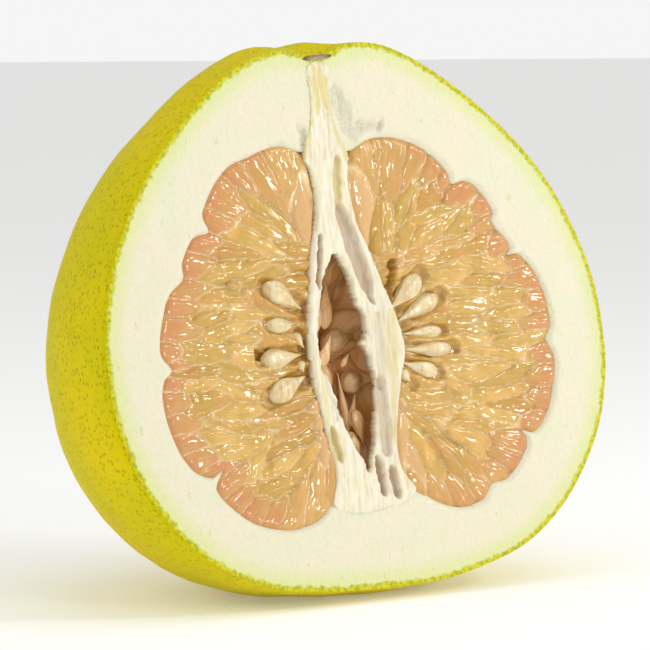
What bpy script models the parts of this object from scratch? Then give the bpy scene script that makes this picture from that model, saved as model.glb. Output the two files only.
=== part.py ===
"""Half a pomelo, cut from stem to blossom end, standing on a small flat spot under its rind.

The pieces are modelled in fruit axes: X runs across the cut face, Y runs from the cut face into the fruit
and Z runs up the cut face. An empty leans those axes back and stands the fruit on the ground plane Z = 0,
with the world origin in the middle of the flat spot. Lengths in the tables below are in millimetres.
"""

import math

import bmesh
import bpy
from mathutils import Matrix, Vector

MM = 0.001
GAP = 0.3                       # clearance between neighbouring pieces
SHARPEST_CORNER = 2.0           # most that a corner of a cutter moves, in clearances

# How the fruit stands.
LEAN_BACK = math.radians(8.0)
FLAT_SPOT_CENTRE = (5.0, 34.0)  # from the foot of the cut face, across and behind
FOOT_HEIGHT = 2.0               # the cut face's foot point above the ground

# The whole fruit: edge of the cut face, anticlockwise from the right, and the bulge behind it.
CUT_CENTRE = (1.0, 74.0)
STEM_TILT = math.radians(5.1)   # the stem axis leans to the left
CUT_EDGE = (
    (89.4, 66.0), (87.4, 82.0), (80.3, 99.5), (69.4, 115.5), (54.2, 129.5), (36.0, 141.7), (20.0, 149.0),
    (7.0, 150.8), (-6.0, 150.4), (-21.0, 148.2), (-31.0, 144.7), (-40.2, 139.5), (-53.8, 127.9),
    (-64.9, 116.0), (-73.1, 103.5), (-78.9, 90.4), (-82.2, 77.0), (-82.6, 63.9), (-80.7, 50.0),
    (-75.5, 36.5), (-66.4, 23.7), (-53.6, 12.6), (-36.6, 5.2), (-17.8, 2.4), (1.4, 1.7), (20.8, 2.0),
    (37.6, 4.7), (54.1, 9.7), (67.9, 18.6), (78.3, 30.0), (85.5, 42.6), (89.0, 55.8),
)
BACK_BULGE = 5.7                # how far the back stands out beyond a plain turned body
BULGE_TOWARDS_STEM = -1.5
BULGE_OFF_EQUATOR = -3.5
BULGE_SHOULDER = -1.0
BULGE_LEFT_UPPER = -2.9
STEM_DIP = 3.9
STEM_DIP_SPREAD = math.radians(6.3)
RIND_SEGMENTS = 72
RIND_RINGS = 36

# Flesh: the two cut carpels and the uncut ones behind them.
LEFT_LOBE = (
    (-20.0, 122.5), (-14.5, 121.0), (-11.0, 116.5), (-9.4, 109.5), (-10.4, 101.5), (-13.2, 92.0),
    (-14.4, 82.0), (-15.8, 71.0), (-15.4, 60.0), (-14.0, 51.0), (-12.0, 41.0), (-10.6, 33.0),
    (-12.4, 25.5), (-18.0, 21.5), (-27.0, 19.8), (-38.0, 22.0), (-46.0, 27.0), (-50.5, 32.5),
    (-48.2, 37.4), (-52.0, 35.6), (-58.0, 38.2), (-63.0, 46.0), (-65.4, 56.0), (-64.6, 61.5),
    (-61.8, 64.4), (-65.0, 69.0), (-63.6, 77.0), (-60.6, 84.0), (-55.8, 88.0), (-55.4, 92.5),
    (-51.6, 98.6), (-46.2, 100.2), (-47.6, 105.0), (-43.6, 112.0), (-38.0, 117.3), (-31.0, 119.8),
    (-26.0, 121.6),
)
RIGHT_LOBE = (
    (1.6, 113.0), (2.2, 108.0), (4.0, 100.0), (7.6, 92.0), (11.6, 82.0), (15.0, 74.0), (16.4, 66.0),
    (14.4, 58.0), (12.4, 50.0), (11.0, 41.0), (11.8, 33.0), (15.6, 27.2), (24.0, 23.4), (32.0, 21.3),
    (40.0, 22.8), (44.0, 27.0), (50.0, 28.2), (56.6, 34.4), (58.0, 38.4), (56.6, 41.2), (61.0, 40.4),
    (66.4, 45.4), (69.6, 53.0), (70.8, 61.0), (68.4, 66.0), (70.5, 70.5), (69.0, 79.0), (65.4, 86.4),
    (60.4, 90.6), (56.6, 90.2), (57.8, 93.0), (52.0, 99.8), (52.6, 103.0), (48.0, 109.4), (43.0, 111.6),
    (38.6, 111.0), (36.6, 115.2), (29.0, 121.0), (20.0, 124.0), (11.0, 124.0), (4.6, 121.0),
)
LOBE_DEPTH = 16.0
LOBE_ROUNDING = ((0.55, 0.97), (0.85, 0.88), (1.0, 0.72))  # share of the depth, share of the outline
PITH_THICKNESS = 21.0
REAR_FLESH_START = 17.0
REAR_SEGMENTS = 40
REAR_RINGS = 20

# The white column between the carpels, and the hollow that it frames.
COLUMN_EDGE = (
    (-8.8, 143.6), (-9.0, 134.0), (-10.2, 127.0), (-12.4, 121.5), (-13.0, 112.0), (-15.0, 98.0),
    (-19.0, 84.0), (-20.0, 66.0), (-18.0, 50.0), (-15.0, 38.0), (-12.4, 29.5), (-8.0, 23.6), (1.0, 21.6),
    (10.0, 22.6), (14.6, 29.0), (16.0, 42.0), (18.0, 56.0), (20.0, 68.0), (17.0, 80.0), (10.0, 96.0),
    (5.0, 110.0), (2.6, 119.0), (-1.4, 126.0), (-3.0, 134.0), (-3.4, 143.6),
)
COLUMN_DEPTH = 6.0
HOLLOW_EDGE = (
    (-5.0, 92.5), (-8.4, 88.0), (-11.0, 80.0), (-12.6, 72.0), (-12.4, 64.0), (-10.0, 58.0), (-7.8, 50.0),
    (-4.2, 42.0), (0.7, 33.5), (2.4, 40.0), (4.6, 50.0), (5.2, 58.0), (3.2, 66.0), (3.0, 74.0),
    (0.2, 81.0), (-2.4, 89.0),
)
CHAMBER_CENTRE = (-2.0, 7.0, 62.0)
CHAMBER_HALF_SIZE = (13.0, 19.0, 33.0)

# The calyx scar at the stem.
BUTTON_CENTRE = (-5.6, 146.2)
BUTTON_RADIUS = 5.0
BUTTON_THICKNESS = 1.8

# Seeds: pointed end, round end, width, thickness and how deep the middle lies behind the cut face.
SEEDS = {
    "seed_left_1": ((-16.4, 78.6), (-29.0, 85.4), 6.6, 4.6, 1.6),
    "seed_left_2": ((-17.6, 74.2), (-29.2, 74.6), 4.6, 4.0, 1.6),
    "seed_left_3": ((-17.8, 66.4), (-31.6, 65.2), 5.6, 4.4, 1.6),
    "seed_left_4": ((-17.0, 60.6), (-29.6, 55.0), 6.6, 4.6, 1.6),
    "seed_left_5": ((-17.4, 68.0), (-20.6, 72.2), 2.4, 2.2, 0.9),
    "seed_left_6": ((-18.2, 61.6), (-19.4, 64.6), 2.4, 2.2, 0.9),
    "seed_right_1": ((14.2, 78.4), (25.2, 86.2), 6.0, 4.4, 1.8),
    "seed_right_2": ((16.2, 73.6), (31.2, 80.0), 5.2, 4.2, 1.8),
    "seed_right_3": ((17.6, 70.2), (31.4, 70.4), 3.8, 3.6, 1.6),
    "seed_right_4": ((17.6, 65.8), (34.4, 65.4), 4.4, 4.0, 1.6),
    "seed_right_5": ((16.6, 62.2), (28.6, 58.8), 4.6, 4.0, 1.6),
    "seed_right_6": ((18.6, 56.4), (15.4, 60.2), 3.0, 2.6, 1.1),
    "seed_hollow_1": ((9.6, 60.4), (1.2, 56.8), 6.0, 4.6, 10.0),
    "seed_hollow_2": ((9.2, 71.2), (-3.2, 68.8), 6.6, 5.0, 12.0),
}
SEED_SEGMENTS = 12
SEED_RINGS = 8
SEED_POCKET_CLEARANCE = 0.4
SEED_POINT_FULLNESS = 0.42      # against a plain ellipsoid, at the pointed end
SEED_BODY_FULLNESS = 0.78       # added towards the round end

COLOURS = {
    "rind": ((0.62, 0.52, 0.01), 0.42),
    "pith": ((0.86, 0.83, 0.68), 0.75),
    "flesh": ((0.80, 0.42, 0.13), 0.25),
    "seed": ((0.78, 0.68, 0.42), 0.45),
    "scar": ((0.16, 0.09, 0.03), 0.85),
}


def clear_scene():
    """Remove every object that the file opened with."""
    for thing in list(bpy.data.objects):
        bpy.data.objects.remove(thing, do_unlink=True)


def make_material(name):
    """Make a plain Principled material from the colour table."""
    colour, roughness = COLOURS[name]
    material = bpy.data.materials.new(name)
    material.use_nodes = True
    shader = material.node_tree.nodes["Principled BSDF"]
    shader.inputs["Base Color"].default_value = (*colour, 1.0)
    shader.inputs["Roughness"].default_value = roughness
    shader.inputs["Metallic"].default_value = 0.0
    return material


def fruit_axes():
    """Make the empty that leans the fruit back and puts the flat spot's middle at the origin."""
    across, behind = FLAT_SPOT_CENTRE
    axes = bpy.data.objects.new("fruit_axes", None)
    axes.rotation_euler = (-LEAN_BACK, 0.0, 0.0)
    axes.location = (-across * MM, -behind * MM, FOOT_HEIGHT * MM)
    bpy.context.scene.collection.objects.link(axes)
    bpy.context.view_layer.update()
    return axes


def add_object(name, bm, axes, material=None):
    """Turn a bmesh in fruit axes, in millimetres, into an object under the leaning empty."""
    bmesh.ops.scale(bm, vec=(MM, MM, MM), verts=bm.verts)
    bmesh.ops.recalc_face_normals(bm, faces=bm.faces)
    mesh = bpy.data.meshes.new(name)
    bm.to_mesh(mesh)
    bm.free()
    if material:
        mesh.materials.append(material)
        mesh.shade_smooth()
        mesh.set_sharp_from_angle(angle=math.radians(35.0))
    thing = bpy.data.objects.new(name, mesh)
    thing.parent = axes
    bpy.context.scene.collection.objects.link(thing)
    return thing


def add_cutter(name, bm, axes):
    """Add a tool solid that only the Boolean modifiers use."""
    cutter = add_object(name, bm, axes)
    cutter.hide_render = True
    cutter.display_type = "WIRE"
    return cutter


def cut_away(target, cutters):
    """Subtract each cutter from the target, with the exact solver."""
    for cutter in cutters:
        modifier = target.modifiers.new(f"cut_{cutter.name}", "BOOLEAN")
        modifier.operation = "DIFFERENCE"
        modifier.solver = "EXACT"
        modifier.object = cutter


def hermite(before, start, end, after, share):
    """Read a smooth curve between start and end, given the points on either side."""
    leave = (end - before) / 2.0
    arrive = (after - start) / 2.0
    square = share * share
    cube = square * share
    return ((2.0 * cube - 3.0 * square + 1.0) * start + (cube - 2.0 * square + share) * leave
            + (3.0 * square - 2.0 * cube) * end + (cube - square) * arrive)


def closed_curve(points, steps):
    """Read steps points on each span of a smooth closed curve through the given points."""
    knots = [Vector(point) for point in points]
    count = len(knots)
    curve = []
    for index in range(count):
        span = (knots[index - 1], knots[index], knots[(index + 1) % count], knots[(index + 2) % count])
        curve += [hermite(*span, step / steps) for step in range(steps)]
    return curve


def edge_in_polar_form():
    """Give the cut edge as sorted pairs of angle from the fruit's own equator and radius."""
    pairs = []
    for across, up in closed_curve(CUT_EDGE, 4):
        offset = Vector((across - CUT_CENTRE[0], up - CUT_CENTRE[1]))
        angle = (math.atan2(offset.y, offset.x) - STEM_TILT) % math.tau
        pairs.append((angle, offset.length))
    return sorted(pairs)


def edge_radius(polar_edge, angle):
    """Read the cut edge's radius at an angle."""
    angle %= math.tau
    after = next((i for i, pair in enumerate(polar_edge) if pair[0] > angle), 0)
    low_angle, low_radius = polar_edge[after - 1]
    high_angle, high_radius = polar_edge[after]
    share = ((angle - low_angle) % math.tau) / ((high_angle - low_angle) % math.tau)
    return low_radius + share * (high_radius - low_radius)


def fruit_radius(polar_edge, latitude, longitude):
    """Give the fruit's radius: the two sides of the cut edge, blended round the stem axis, with the bulge."""
    towards_right = (1.0 + math.cos(longitude)) / 2.0
    right = edge_radius(polar_edge, latitude)
    left = edge_radius(polar_edge, math.pi - latitude)
    bulge = (BACK_BULGE + BULGE_TOWARDS_STEM * math.sin(latitude)
             + BULGE_OFF_EQUATOR * math.cos(2.0 * latitude) + BULGE_SHOULDER * math.sin(3.0 * latitude)
             + BULGE_LEFT_UPPER * math.cos(longitude) * math.sin(latitude))
    bulge *= abs(math.sin(longitude)) * math.cos(latitude)
    from_stem = (math.pi / 2.0 - latitude) / STEM_DIP_SPREAD
    dip = STEM_DIP * math.exp(-from_stem * from_stem)
    return right * towards_right + left * (1.0 - towards_right) + bulge - dip


def fruit_body(segments, rings, inset, front):
    """Make the fruit's closed body, inset from its skin and cut off square at the front depth."""
    polar_edge = edge_in_polar_form()
    bm = bmesh.new()
    bmesh.ops.create_uvsphere(bm, u_segments=segments, v_segments=rings, radius=1.0)
    for vert in bm.verts:
        latitude = math.asin(max(-1.0, min(1.0, vert.co.z)))
        longitude = math.atan2(vert.co.y, vert.co.x)
        vert.co *= fruit_radius(polar_edge, latitude, longitude) - inset
    bmesh.ops.rotate(bm, verts=bm.verts, matrix=Matrix.Rotation(-STEM_TILT, 3, "Y"))
    bmesh.ops.translate(bm, verts=bm.verts, vec=(CUT_CENTRE[0], 0.0, CUT_CENTRE[1]))
    trim(bm, Vector((0.0, front, 0.0)), Vector((0.0, -1.0, 0.0)))
    return bm


def trim(bm, point, outward):
    """Cut a closed mesh off at a plane and close it with a flat face."""
    geometry = bm.verts[:] + bm.edges[:] + bm.faces[:]
    cut = bmesh.ops.bisect_plane(bm, geom=geometry, dist=0.01, plane_co=point, plane_no=outward,
                                 clear_outer=True)
    rim = [item for item in cut["geom_cut"] if isinstance(item, bmesh.types.BMEdge)]
    bmesh.ops.contextual_create(bm, geom=rim)


def extruded(edge, steps, depths_and_shares):
    """Close an outline at the cut face and draw it back in rings, each narrowed about its middle."""
    curve = closed_curve(edge, steps)
    middle = sum(curve, Vector((0.0, 0.0))) / len(curve)
    bm = bmesh.new()
    verts = [bm.verts.new((point.x, 0.0, point.y)) for point in curve]
    front = bm.faces.new(verts)
    ring = list(front.edges)
    previous = 0.0, 1.0
    for depth, share in depths_and_shares:
        made = bmesh.ops.extrude_edge_only(bm, edges=ring)["geom"]
        ring = [item for item in made if isinstance(item, bmesh.types.BMEdge)]
        ring_verts = [item for item in made if isinstance(item, bmesh.types.BMVert)]
        ring = [item for item in ring if all(vert in ring_verts for vert in item.verts)]
        pivot = Matrix.Translation((-middle.x, 0.0, -middle.y))
        narrow = share / previous[1]
        bmesh.ops.scale(bm, vec=(narrow, 1.0, narrow), space=pivot, verts=ring_verts)
        bmesh.ops.translate(bm, vec=(0.0, depth - previous[0], 0.0), verts=ring_verts)
        previous = depth, share
    bmesh.ops.contextual_create(bm, geom=ring)
    return bm


def grow(bm, amount):
    """Swell a closed mesh outwards along its normals."""
    bmesh.ops.recalc_face_normals(bm, faces=bm.faces)
    bm.normal_update()
    moves = [vert.normal * amount * min(vert.calc_shell_factor(), SHARPEST_CORNER) for vert in bm.verts]
    for vert, move in zip(bm.verts, moves):
        vert.co += move
    return bm


def lobe(edge):
    """Make one cut carpel: a flat front in the cut face and a rounded back."""
    return extruded(edge, 2, [(LOBE_DEPTH * depth, share) for depth, share in LOBE_ROUNDING])


def column():
    """Make the white column's slab, before the carpels and the hollow are cut out of it."""
    return extruded(COLUMN_EDGE, 2, [(COLUMN_DEPTH * 0.7, 1.0), (COLUMN_DEPTH, 0.97)])


def chamber():
    """Make the space behind the column, which reaches forward past the cut face."""
    bm = bmesh.new()
    bmesh.ops.create_uvsphere(bm, u_segments=24, v_segments=16, radius=1.0)
    bmesh.ops.scale(bm, vec=CHAMBER_HALF_SIZE, verts=bm.verts)
    bmesh.ops.translate(bm, vec=CHAMBER_CENTRE, verts=bm.verts)
    trim(bm, Vector((0.0, COLUMN_DEPTH - 1.0, 0.0)), Vector((0.0, -1.0, 0.0)))
    return bm


def button(radius, thickness):
    """Make the half disc of the calyx scar."""
    bm = bmesh.new()
    bmesh.ops.create_cone(bm, cap_ends=True, segments=24, radius1=radius * 0.8, radius2=radius,
                          depth=thickness)
    bmesh.ops.rotate(bm, verts=bm.verts, matrix=Matrix.Rotation(-STEM_TILT, 3, "Y"))
    bmesh.ops.translate(bm, verts=bm.verts, vec=(BUTTON_CENTRE[0], 0.0, BUTTON_CENTRE[1]))
    return bm


def seed(pointed, rounded, width, thickness, depth):
    """Make a teardrop seed that lies in the cut face, from its pointed end to its round end."""
    start = Vector(pointed)
    along = Vector(rounded) - start
    bm = bmesh.new()
    bmesh.ops.create_uvsphere(bm, u_segments=SEED_SEGMENTS, v_segments=SEED_RINGS, radius=1.0)
    for vert in bm.verts:
        share = (vert.co.z + 1.0) / 2.0
        fullness = SEED_POINT_FULLNESS + SEED_BODY_FULLNESS * math.sin(share * math.pi / 2.0) ** 1.5
        vert.co.x *= width / 2.0 * fullness
        vert.co.y *= thickness / 2.0 * fullness
        vert.co.z *= along.length / 2.0
    turn = math.atan2(along.x, along.y)
    middle = start + along / 2.0
    bmesh.ops.rotate(bm, verts=bm.verts, matrix=Matrix.Rotation(turn, 3, "Y"))
    bmesh.ops.translate(bm, verts=bm.verts, vec=(middle.x, depth, middle.y))
    return bm


def build():
    """Build every piece of the half pomelo."""
    clear_scene()
    axes = fruit_axes()
    material = {name: make_material(name) for name in COLOURS}

    left_tool = add_cutter("left_lobe_room", grow(lobe(LEFT_LOBE), GAP), axes)
    right_tool = add_cutter("right_lobe_room", grow(lobe(RIGHT_LOBE), GAP), axes)
    column_tool = add_cutter("column_room", grow(column(), GAP), axes)
    chamber_tool = add_cutter("chamber_room", chamber(), axes)
    rear_room = fruit_body(REAR_SEGMENTS, REAR_RINGS, PITH_THICKNESS, REAR_FLESH_START)
    rear_tool = add_cutter("rear_flesh_room", grow(rear_room, GAP), axes)
    button_tool = add_cutter("button_room", button(BUTTON_RADIUS + GAP, BUTTON_THICKNESS + 8.0 * GAP), axes)
    hollow = extruded(HOLLOW_EDGE, 2, [(COLUMN_DEPTH + 4.0, 1.0)])
    bmesh.ops.translate(hollow, vec=(0.0, -2.0, 0.0), verts=hollow.verts)
    hollow_tool = add_cutter("hollow_room", hollow, axes)
    pocket_tools = {}
    for name, (pointed, rounded, width, thickness, depth) in SEEDS.items():
        pocket = grow(seed(pointed, rounded, width, thickness, depth), SEED_POCKET_CLEARANCE)
        pocket_tools[name] = add_cutter(f"{name}_room", pocket, axes)

    body = fruit_body(RIND_SEGMENTS, RIND_RINGS, 0.0, 0.0)
    ground = axes.matrix_world.inverted()
    down = (ground.to_3x3() @ Vector((0.0, 0.0, -1.0))).normalized()
    trim(body, ground.translation / MM, down)
    peel = add_object("peel", body, axes, material["rind"])
    cut_away(peel, (rear_tool, left_tool, right_tool, column_tool, chamber_tool, button_tool))

    left = add_object("left_segment", lobe(LEFT_LOBE), axes, material["flesh"])
    cut_away(left, [tool for name, tool in pocket_tools.items() if "left" in name])
    right = add_object("right_segment", lobe(RIGHT_LOBE), axes, material["flesh"])
    cut_away(right, [tool for name, tool in pocket_tools.items() if "left" not in name])
    rear = fruit_body(REAR_SEGMENTS, REAR_RINGS, PITH_THICKNESS, REAR_FLESH_START)
    rear = add_object("rear_flesh", rear, axes, material["flesh"])
    cut_away(rear, (chamber_tool,))
    core = add_object("core_column", column(), axes, material["pith"])
    cut_away(core, (left_tool, right_tool, hollow_tool))

    scar = button(BUTTON_RADIUS, BUTTON_THICKNESS)
    trim(scar, Vector((0.0, 0.0, 0.0)), Vector((0.0, -1.0, 0.0)))
    add_object("stem_button", scar, axes, material["scar"])
    for name, (pointed, rounded, width, thickness, depth) in SEEDS.items():
        add_object(name, seed(pointed, rounded, width, thickness, depth), axes, material["seed"])


build()
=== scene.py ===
"""Looks of the half pomelo: rind, pith, white column, juice sacs, hollow and seeds.

Pieces are shaped in fruit axes, in millimetres: X across the cut face, Y into the fruit, Z up the cut
face. FruitAxes turns them into the frame's metres. Finished pieces sit at the origin.
"""

import logging
import math
import random
from bisect import bisect_right
from dataclasses import dataclass, field
from enum import Enum
from typing import Callable, Iterable, Sequence

import bmesh
import bpy
import numpy as np
from mathutils import Euler, Matrix, Vector, noise


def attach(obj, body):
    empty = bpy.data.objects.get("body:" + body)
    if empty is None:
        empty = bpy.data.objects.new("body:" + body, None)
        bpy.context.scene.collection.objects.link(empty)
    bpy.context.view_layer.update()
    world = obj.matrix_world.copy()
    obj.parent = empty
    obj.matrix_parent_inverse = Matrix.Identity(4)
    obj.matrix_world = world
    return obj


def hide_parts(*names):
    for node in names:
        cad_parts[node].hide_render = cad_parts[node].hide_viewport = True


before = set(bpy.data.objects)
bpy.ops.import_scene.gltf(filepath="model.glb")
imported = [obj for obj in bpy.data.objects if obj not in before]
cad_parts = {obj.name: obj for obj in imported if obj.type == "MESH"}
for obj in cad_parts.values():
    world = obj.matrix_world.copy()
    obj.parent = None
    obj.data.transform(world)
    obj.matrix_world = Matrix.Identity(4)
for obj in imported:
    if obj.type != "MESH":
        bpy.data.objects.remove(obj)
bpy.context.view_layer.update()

LOG = logging.getLogger("half_pomelo")
MM = 0.001
BODY = "root"
Point = tuple[float, float]
Colour = tuple[float, float, float]
Bulb = tuple[float, float, float, float]
Skin = tuple[float, float, float, float, float, float]
Patch = tuple[Point, Point, float]
Pit = tuple[Point, Point, float, float]
Relief = tuple[np.ndarray, dict[str, np.ndarray]]
SAC_VALUES = ("along", "tint", "seam", "calm", "low", "shade")


class Side(Enum):
    """Which of the two opened carpels a piece belongs to."""

    LEFT = "left"
    RIGHT = "right"


# Outlines in the cut face, across and up, in millimetres.
CUT_CENTRE: Point = (1.0, 74.0)
STEM_TILT = math.radians(5.1)
CUT_EDGE: tuple[Point, ...] = (
    (89.4, 66.0), (87.4, 82.0), (80.3, 99.5), (69.4, 115.5), (54.2, 129.5), (36.0, 141.7), (20.0, 149.0),
    (7.0, 150.8), (-6.0, 150.4), (-21.0, 148.2), (-31.0, 144.7), (-40.2, 139.5), (-53.8, 127.9),
    (-64.9, 116.0), (-73.1, 103.5), (-78.9, 90.4), (-82.2, 77.0), (-82.6, 63.9), (-80.7, 50.0),
    (-75.5, 36.5), (-66.4, 23.7), (-53.6, 12.6), (-36.6, 5.2), (-17.8, 2.4), (1.4, 1.7), (20.8, 2.0),
    (37.6, 4.7), (54.1, 9.7), (67.9, 18.6), (78.3, 30.0), (85.5, 42.6), (89.0, 55.8),
)
LEFT_OUTER: tuple[Point, ...] = (
    (-10.6, 33.0), (-12.4, 25.5), (-18.0, 21.5), (-27.0, 19.8), (-38.0, 22.0), (-46.0, 27.0),
    (-50.5, 32.5), (-48.2, 37.4), (-52.0, 35.6), (-58.0, 38.2), (-63.0, 46.0), (-65.4, 56.0),
    (-64.6, 61.5), (-61.8, 64.4), (-65.0, 69.0), (-63.6, 77.0), (-60.6, 84.0), (-55.8, 88.0),
    (-55.4, 92.5), (-51.6, 98.6), (-46.2, 100.2), (-47.6, 105.0), (-43.6, 112.0), (-38.0, 117.3),
    (-31.0, 119.8), (-26.0, 121.6), (-20.0, 122.5), (-14.5, 121.0),
)
LEFT_INNER: tuple[Point, ...] = (
    (-11.0, 116.5), (-9.4, 109.5), (-10.4, 101.5), (-13.2, 92.0), (-14.4, 82.0), (-15.8, 71.0),
    (-15.4, 60.0), (-14.0, 51.0), (-12.0, 41.0),
)
RIGHT_OUTER: tuple[Point, ...] = (
    (4.6, 121.0), (11.0, 124.0), (20.0, 124.0), (29.0, 121.0), (36.6, 115.2), (38.6, 111.0),
    (43.0, 111.6), (48.0, 109.4), (52.6, 103.0), (52.0, 99.8), (57.8, 93.0), (56.6, 90.2), (60.4, 90.6),
    (65.4, 86.4), (69.0, 79.0), (70.5, 70.5), (68.4, 66.0), (70.8, 61.0), (69.6, 53.0), (66.4, 45.4),
    (61.0, 40.4), (56.6, 41.2), (58.0, 38.4), (56.6, 34.4), (50.0, 28.2), (44.0, 27.0), (40.0, 22.8),
    (32.0, 21.3), (24.0, 23.4), (15.6, 27.2), (11.8, 33.0),
)
RIGHT_INNER: tuple[Point, ...] = (
    (11.0, 41.0), (12.4, 50.0), (14.4, 58.0), (16.4, 66.0), (15.0, 74.0), (11.6, 82.0), (7.6, 92.0),
    (4.0, 100.0), (2.2, 108.0), (1.6, 113.0),
)
COLUMN_FOOT: tuple[Point, ...] = ((10.0, 25.0), (3.0, 22.8), (-7.0, 22.6))
HOLLOW_LEFT: tuple[Point, ...] = (
    (0.7, 33.5), (-1.6, 38.0), (-4.2, 42.0), (-5.6, 45.0), (-7.8, 50.0), (-8.8, 55.0), (-10.6, 59.0),
    (-12.4, 64.0), (-12.8, 72.0), (-11.0, 80.0), (-8.6, 88.0), (-5.0, 92.5),
)
HOLLOW_RIGHT: tuple[Point, ...] = (
    (0.7, 33.5), (2.2, 38.0), (3.6, 45.0), (4.8, 52.0), (5.2, 58.0), (4.2, 63.0), (3.0, 66.0),
    (1.6, 68.3), (3.2, 70.5), (3.0, 75.0), (0.6, 80.0), (-0.6, 85.0), (-2.6, 90.0), (-5.0, 92.5),
)


# Border bulbs: across and up in millimetres, width in millimetres, and redness from 0 to 1.
LEFT_BULBS: tuple[Bulb, ...] = (
    (-19.0, 121.5, 11.0, 0.35), (-30.0, 118.0, 7.5, 0.6), (-36.0, 116.5, 6.0, 1.0),
    (-43.5, 110.5, 8.5, 0.7), (-46.0, 104.0, 5.5, 0.8), (-50.0, 97.5, 6.0, 1.0), (-54.5, 91.5, 7.0, 0.85),
    (-58.0, 85.5, 6.0, 0.75), (-61.5, 81.0, 4.5, 0.9), (-63.5, 75.0, 6.5, 0.7), (-64.3, 69.0, 6.0, 0.7),
    (-62.0, 66.0, 4.0, 0.9), (-63.5, 61.0, 5.0, 0.7), (-65.0, 56.0, 6.5, 0.75), (-63.2, 50.0, 5.5, 0.8),
    (-61.5, 45.0, 6.0, 0.8), (-58.0, 40.0, 6.5, 1.0), (-52.0, 37.0, 5.5, 0.7), (-49.5, 33.0, 6.0, 0.75),
    (-45.0, 28.0, 6.0, 0.7), (-40.0, 24.5, 6.5, 0.75), (-34.0, 21.5, 6.0, 1.0), (-27.5, 20.5, 7.0, 0.35),
    (-19.0, 22.5, 7.5, 0.3), (-13.0, 28.5, 6.0, 0.5),
)
RIGHT_BULBS: tuple[Bulb, ...] = (
    (8.0, 121.5, 8.0, 0.4), (19.0, 122.5, 9.0, 0.55), (27.0, 120.5, 6.5, 0.6), (33.5, 117.0, 5.5, 0.6),
    (37.0, 113.0, 4.5, 0.6), (44.5, 110.5, 7.0, 0.75), (50.5, 105.0, 6.0, 0.85), (52.0, 100.5, 5.0, 0.5),
    (57.0, 94.0, 6.0, 0.7), (61.5, 89.0, 5.5, 0.65), (66.0, 84.0, 6.5, 0.7), (69.0, 77.5, 6.0, 0.75),
    (70.0, 71.0, 6.0, 0.85), (69.5, 62.5, 6.0, 0.7), (70.0, 56.5, 6.0, 0.7), (68.0, 49.5, 6.5, 0.65),
    (64.0, 43.0, 6.0, 0.65), (57.0, 37.5, 6.5, 0.9), (54.0, 32.5, 6.0, 0.7), (47.5, 28.0, 6.0, 0.4),
    (41.5, 24.5, 6.0, 0.45), (34.0, 22.0, 7.5, 0.5), (26.0, 23.0, 7.0, 0.45), (17.5, 26.5, 6.0, 0.7),
)
# Smooth membranes: across, up, lean in degrees, half length, half width, and redness.
LEFT_SKINS: tuple[Skin, ...] = (
    (-15.0, 109.0, -6.0, 13.0, 3.6, 0.5), (-14.6, 44.0, -4.0, 12.0, 2.2, 0.6),
)
RIGHT_SKINS: tuple[Skin, ...] = (
    (7.5, 110.0, 4.0, 12.0, 3.4, 0.3), (13.6, 42.0, 6.0, 11.0, 2.0, 0.3),
    (17.0, 33.0, -24.0, 7.0, 2.6, 0.8),
)
# Pits round the seeds: start, end, reach and depth in millimetres.
LEFT_PITS: tuple[Pit, ...] = (
    ((-16.5, 78.5), (-28.5, 84.5), 4.4, 1.6), ((-18.0, 74.2), (-28.5, 74.6), 3.2, 1.4),
    ((-18.0, 66.5), (-32.0, 66.0), 3.8, 1.8), ((-17.5, 60.5), (-30.5, 55.0), 4.4, 1.8),
    ((-31.0, 66.5), (-33.5, 67.5), 1.8, 2.2), ((-17.0, 69.0), (-18.5, 72.0), 2.6, 1.8),
)
RIGHT_PITS: tuple[Pit, ...] = (
    ((14.8, 78.0), (24.5, 86.0), 4.2, 1.8), ((16.5, 74.0), (31.0, 80.0), 3.8, 1.8),
    ((17.5, 70.2), (31.0, 70.4), 2.8, 1.7), ((17.5, 65.8), (34.0, 65.4), 3.2, 1.8),
    ((16.8, 62.0), (28.6, 58.8), 3.4, 1.8), ((13.6, 79.0), (15.0, 89.5), 1.9, 3.0),
    ((15.2, 60.0), (18.6, 56.0), 2.4, 1.4),
)
# Torn pith beside the neck: start, end and reach in millimetres.
TORN_PATCHES: tuple[Patch, ...] = (
    ((0.0, 135.5), (4.5, 126.0), 3.6),
    ((5.0, 127.0), (14.0, 127.5), 2.0),
    ((-13.5, 126.5), (-12.4, 123.5), 1.6),
)


@dataclass(frozen=True)
class FruitAxes:
    """Where the leaning fruit stands in the frame.

    The lean, the foot and the flat spot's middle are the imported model's own driving dimensions.
    """

    lean: float = math.radians(8.0)
    spot: Point = (5.0, 34.0)
    foot: float = 2.0

    def to_frame(self) -> Matrix:
        """Return the matrix from fruit millimetres to frame metres."""
        place = Matrix.Translation((-self.spot[0] * MM, -self.spot[1] * MM, self.foot * MM))
        return place @ Matrix.Rotation(-self.lean, 4, "X") @ Matrix.Scale(MM, 4)

    def mapping(self) -> tuple[Vector, Euler, Vector]:
        """Return location, rotation and scale that turn Object coordinates back into fruit millimetres."""
        back = self.to_frame().inverted()
        return back.to_translation(), back.to_euler(), Vector((1.0 / MM,) * 3)


AXES = FruitAxes()


def hermite(before: Vector, start: Vector, end: Vector, after: Vector, share: float) -> Vector:
    """Read a smooth curve between two points.

    Args:
        before: The point before the span.
        start: The span's first point.
        end: The span's last point.
        after: The point after the span.
        share: How far along the span, from 0 to 1.

    Returns:
        The point on the curve.
    """
    leave = (end - before) / 2.0
    arrive = (after - start) / 2.0
    square = share * share
    cube = square * share
    return ((2.0 * cube - 3.0 * square + 1.0) * start + (cube - 2.0 * square + share) * leave
            + (3.0 * square - 2.0 * cube) * end + (cube - square) * arrive)


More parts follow.
